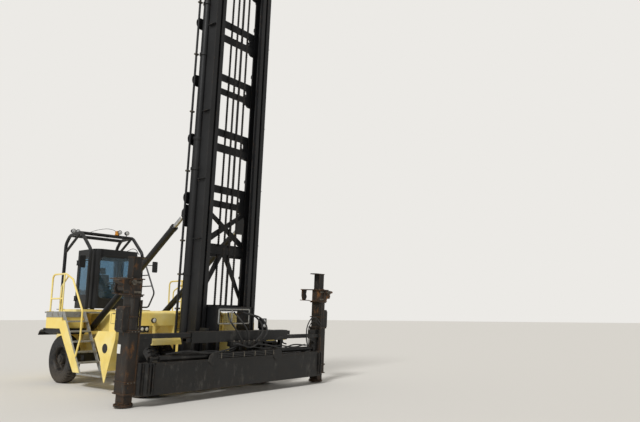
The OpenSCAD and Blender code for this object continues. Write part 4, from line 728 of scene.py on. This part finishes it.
# On the left, two hoses loop from the beam's end up to the post
loops = [hose([(2.30, -0.16, 1.02), (2.20, -0.19, 1.30), (2.24, -0.21, 1.62), (2.48, -0.20, 1.78),
               (2.72, -0.18, 1.66), (2.82, -0.165, 1.58)], 0.016),
         hose([(2.36, -0.14, 1.02), (2.30, -0.17, 1.28), (2.33, -0.18, 1.55), (2.52, -0.17, 1.68),
               (2.70, -0.17, 1.60), (2.82, -0.165, 1.52)], 0.012)]
put(joined(loops), "post_hoses", hose_rubber, "arm_l", leaned)
# Blank white plate on the outer side of the right post
plate = box((-3.0365, 0.085, 1.06), (-3.0302, 0.195, 1.235))
put(plate, "blank_plate", plate_enamel, "arm_r", leaned)

# Mast -------------------------------------------------------------------------------------

# The lift cylinders' middle, the height of their step and that of their top
LIFT_X, LIFT_Y, STEP_Z, GLAND_Z = 0.89, 0.925, 5.975, 10.51
# Heights of the bolts at the cross plates
BOLTS_Z = (4.40, 4.90, 5.85, 6.45, 7.32, 7.92, 8.78, 9.50)
for side, s in SIDES:
    # Ring under the step of the cylinder, and its gland nut with a circle of bolts
    collar = turned([(0.118, 0), (0.124, 0.006), (0.124, 0.05), (0.118, 0.056), (0.106, 0.060)], 48)
    put(stand(collar, (s * LIFT_X, LIFT_Y, STEP_Z)), "step_ring_" + side, mast_enamel,
        "outer_mast", leaned)
    gland = turned([(0.117, 0), (0.120, 0.008), (0.120, 0.060), (0.104, 0.074), (0.092, 0.078),
                    (0.068, 0.080)], 48)
    put(stand(gland, (s * LIFT_X, LIFT_Y, GLAND_Z)), "lift_gland_" + side, mast_enamel,
        "outer_mast", leaned)
    bolts = [(s * LIFT_X + x, LIFT_Y + y, GLAND_Z + 0.072) for x, y in ring(8, 0.100)]
    put(heads(bolts, 0.010, 0.014), "gland_bolts_" + side, bare_steel, "outer_mast", leaned)
    # Clips that hold the pipe beside the cylinder
    clip = box((s * 1.045 - 0.054, 1.00, 0), (s * 1.045 + 0.054, 1.075, 0.04), 0.006)
    put(repeated(clip, [(0, 0, z) for z in (1.9, 2.7, 3.5, 5.2, 6.7, 8.2, 9.6)]),
        "pipe_clips_" + side, bare_steel, "outer_mast", leaned)
    # Bolts through the rails' rear flanges at every cross plate
    rows = [(s * (0.67 + 0.09 * j), 0.803, z) for z in BOLTS_Z for j in range(2)]
    put(heads(rows, 0.018, 0.016, (0, 1, 0)), "plate_bolts_" + side, bare_steel, "outer_mast",
        leaned)

# Leaf chains ------------------------------------------------------------------------------

# Distance between the links, and X of the chains' middle
PITCH, CHAIN_X = 0.0508, 0.175
# Top of the chains at the sheaves, and the lower ends of the runs in front and behind
SHEAVE_Z = 10.71
FRONT_END, REAR_END = Vector((0, 0.538, 1.99)), Vector((0, 0.7585, 2.03))


def plates(half_x, half_y, low, high, y, bevel):
    """A stack of link plates, as one block."""
    return box((CHAIN_X - half_x, y - half_y, low), (CHAIN_X + half_x, y + half_y, high), bevel)


def chain(low, high, y, slim=0.0):
    """A run of leaf chain on each side between two heights: one link of wide and narrow plates, set
    in a row by an array. Slim takes that much off each side of its plates."""
    run = joined([plates(0.030 - slim, 0.0115 - slim, low, low + 0.036, y, 0.004),
                  plates(0.024 - slim, 0.009 - slim, low + 0.030, low + 0.054, y, 0.003)])
    row = run.modifiers.new("links", "ARRAY")
    row.use_relative_offset = False
    row.use_constant_offset = True
    row.constant_offset_displace = (0, 0, PITCH)
    row.count = int((high - low) / PITCH)
    select_only(run)
    bpy.ops.object.modifier_apply(modifier=row.name)
    return repeated(run, [(0, 0, 0), (-2 * CHAIN_X, 0, 0)])


# The runs in front, with the hose between them, shorten from the sheaves as the carriage climbs
feed_hose = hose([FRONT_END, (0, FRONT_END.y, 6.3), (0, FRONT_END.y, SHEAVE_Z)], 0.021)
front_run = joined([chain(FRONT_END.z, SHEAVE_Z, FRONT_END.y), feed_hose])
put(front_run, "lift_chain_front", chain_steel, "carriage", leaned, instead=["lift_chains"])
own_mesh(front_run)
# The runs behind come down to the outer mast. They pay out over the sheaves as the inner mast
# climbs, so their lower length stands on the outer mast and lies inside the upper one at rest
put(chain(REAR_END.z, SHEAVE_Z, REAR_END.y), "lift_chain_rear", chain_steel, "inner_mast", leaned,
    instead=["chain_returns"])
put(chain(REAR_END.z, SHEAVE_Z - 0.1, REAR_END.y, slim=0.002), "lift_chain_tail", chain_steel,
    "outer_mast", leaned)

# Cab --------------------------------------------------------------------------------------


def window(x0, x1, z0, z1, y):
    """Points round an upright window, with close pairs that keep its corners tight."""
    corner = 0.07
    return [(x0 + corner, y, z0), (x1 - corner, y, z0), (x1, y, z0 + corner), (x1, y, z1 - corner),
            (x1 - corner, y, z1), (x0 + corner, y, z1), (x0, y, z1 - corner), (x0, y, z0 + corner)]


for name, edges in (("front_seal", window(-0.58, 0.58, 2.25, 3.44, 5.349)),
                    ("rear_seal", window(-0.60, 0.60, 2.50, 3.44, 6.451))):
    put(hose(edges, 0.011, closed=True), name, hose_rubber, "chassis")
# Each wiper is a bent arm with its blade, and the front one has its motor's cover
wiper = joined([hose([(0.05, 5.335, 2.24), (0.10, 5.320, 2.60), (0.16, 5.325, 2.95)], 0.008),
                box((0.145, 5.318, 2.55), (0.165, 5.334, 3.30), 0.003),
                box((0.01, 5.325, 2.19), (0.09, 5.352, 2.26), 0.01)])
put(wiper, "front_wiper", trim_plastic, "chassis")
wiper = joined([hose([(-0.05, 6.464, 2.49), (-0.10, 6.472, 2.80), (-0.12, 6.470, 3.05)], 0.008),
                box((-0.13, 6.464, 2.75), (-0.11, 6.478, 3.32), 0.003)])
put(wiper, "rear_wiper", trim_plastic, "chassis")
# Padded cushion over the plain one of the solids
cushion = joined([box((-0.24, 5.75, 2.43), (0.24, 6.20, 2.53), 0.04, 4),
                  box((-0.10, 5.72, 2.425), (0.10, 5.76, 2.50), 0.015)])
put(cushion, "seat_cushion", seat_cloth, "chassis")
# Pressed ribs that stiffen the roof
rib = box((-0.55, 5.45, 3.676), (0.55, 5.50, 3.690), 0.006)
put(repeated(rib, [(0, 0.14 * k, 0) for k in range(7)]), "roof_ribs", cab_enamel, "chassis")
# Cables of the guard's lamps
cables = [hose([(-0.62, 6.70, 4.235), (-0.30, 6.72, 4.30), (0.05, 6.72, 4.25),
                (0.40, 6.72, 4.235)], 0.008),
          hose([(0.38, 6.07, 4.30), (0.20, 6.20, 4.42), (-0.10, 6.40, 4.40),
                (-0.40, 6.62, 4.26)], 0.007),
          hose([(0.80, 5.52, 3.62), (0.66, 5.60, 3.80), (0.50, 5.66, 3.74),
                (0.44, 5.70, 3.69)], 0.009)]
put(joined(cables), "guard_cables", hose_rubber, "chassis")

# Decks, steps and covers ------------------------------------------------------------------

# One of six rises from the platform to the deck, and the climb of the stairs for each metre back
RISE = (1.85 - 0.34) / 6
SLOPE = 1.44
for side, s in SIDES:
    # Open grating on the treads and the bottom platform
    inner, outer = low_high(s, 1.40, 1.92)
    bar = box((inner, 3.46, 0.344), (outer, 3.466, 0.356))
    cross = box((s * 1.45 - 0.003, 3.455, 0.344), (s * 1.45 + 0.003, 3.665, 0.354))
    tread = joined([repeated(bar, [(0, 0.04 * k, 0) for k in range(6)]),
                    repeated(cross, [(s * 0.09 * k, 0, 0) for k in range(6)])])
    treads = repeated(tread, [(0, RISE * i / SLOPE, RISE * i) for i in range(1, 6)])
    inner, outer = low_high(s, 1.38, 1.94)
    bar = box((inner, 2.64, 0.349), (outer, 2.646, 0.358))
    platform = repeated(bar, [(0, 0.08 * k, 0) for k in range(13)])
    put(joined([treads, platform]), "step_grating_" + side, galvanised_steel, "chassis")
    # Dark round cover on the slanted tank
    oval = turned([(0.11, 0), (0.11, 0.006), (0.10, 0.008), (0.095, 0.004), (0.02, 0.004)], 40)
    stand(oval, (s * 1.90, 2.55, 0.98), (s, 0, 0))
    put(oval, "oval_cover_" + side, trim_plastic, "chassis")
    # Side box's door: its seam, hinges and latch
    inner, outer = low_high(s, 1.8695, 1.874)
    level = repeated(box((inner, 1.52, 1.560), (outer, 2.42, 1.566)), [(0, 0, 0), (0, 0, 0.23)])
    plumb = repeated(box((inner, 1.52, 1.56), (outer, 1.526, 1.796)), [(0, 0, 0), (0, 0.894, 0)])
    put(joined([level, plumb]), "box_seam_" + side, hose_rubber, "chassis")
    inner, outer = low_high(s, 1.868, 1.880)
    hinge = box((inner, 1.60, 1.785), (outer, 1.68, 1.81), 0.004)
    inner, outer = low_high(s, 1.868, 1.886)
    latch = box((inner, 1.94, 1.60), (outer, 2.02, 1.64), 0.004)
    hinges = repeated(hinge, [(0, 0, 0), (0, 0.66, 0)])
    put(joined([latch, hinges]), "box_latch_" + side, bare_steel, "chassis")
    cap = turned([(0.055, 0), (0.060, 0.006), (0.060, 0.03), (0.052, 0.038), (0.02, 0.04)], 32)
    put(stand(cap, (s * 1.62, 2.10, 1.810)), "filler_cap_" + side, trim_plastic, "chassis")
    # Flanged foot of the hand rail, with its bolts
    corners = [(s * 1.91 + dx, 5.40 + dy, 1.858) for dx in (-0.05, 0.05) for dy in (-0.05, 0.05)]
    flange = box((s * 1.91 - 0.07, 5.33, 1.8495), (s * 1.91 + 0.07, 5.47, 1.858), 0.003)
    foot = joined([heads(corners, 0.009, 0.012), flange])
    put(foot, "rail_foot_" + side, yellow_enamel, "chassis")
# Dark joints between the hood's panels
joint = box((-0.40, 1.60, 1.868), (0.40, 1.63, 1.878), 0.004)
put(repeated(joint, [(0, 0.9 * k, 0) for k in range(4)]), "hood_joints", trim_plastic, "chassis")

# Studio -----------------------------------------------------------------------------------

# Matt studio paper under the machine, and a pale sky that gives its light evenly
studio_paper = bpy.data.materials.new("studio_paper")
studio_paper.use_nodes = True
dress(studio_paper, {"Base Color": "#d9d6d0", "Roughness": 0.9})

deselect()
bpy.ops.mesh.primitive_plane_add(size=400, location=(0, 0, 0))
floor = bpy.context.object
floor.name = "studio_floor"
floor.data.materials.append(studio_paper)

world = bpy.data.worlds.new("studio_world")
bpy.context.scene.world = world
world.use_nodes = True
sky = world.node_tree
# The camera sees it at full strength, also through glass, and it lights the machine with less
seen = add(sky, "ShaderNodeLightPath", {}, "Is Camera Ray")
through = add(sky, "ShaderNodeLightPath", {}, "Is Transmission Ray")
seen = add(sky, "ShaderNodeMath", {0: seen, 1: through}, operation="MAXIMUM")
strength = add(sky, "ShaderNodeMapRange", {"Value": seen, "To Min": 0.62, "To Max": 1.0})
backdrop = sky.nodes["Background"]
backdrop.inputs["Color"].default_value = linear("#eceae6")
sky.links.new(strength, backdrop.inputs["Strength"])

# A broad key lamp, high on the machine's right as the sun stands in the photograph
deselect()
bpy.ops.object.light_add(type="SUN", location=(-20, 0, 20))
KEY_FROM = Vector((-0.80, -0.28, 0.85))
key = bpy.context.object
key.name = "key_lamp"
key.data.energy = 2.1
key.data.angle = math.radians(14)
key.rotation_euler = (-KEY_FROM).to_track_quat("-Z", "Y").to_euler()

# Camera as solved from the photograph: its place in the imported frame, where it looks and its roll
CAMERA_AT = (-9.386, -13.5496, 1.75)
VIEW = Vector((0.7604, 0.6235, 0.1820)).normalized()
CAMERA_ROLL = 0.0039
deselect()
bpy.ops.object.camera_add(location=CAMERA_AT)
camera = bpy.context.object
camera.name = "photo_camera"
turn = VIEW.to_track_quat("-Z", "Y").to_matrix() @ Matrix.Rotation(CAMERA_ROLL, 3, "Z")
camera.rotation_euler = turn.to_euler()
camera.data.sensor_width = 36.0
camera.data.lens = 32.0
camera.data.clip_end = 600
bpy.context.scene.camera = camera
bpy.context.scene.view_settings.view_transform = "Standard"
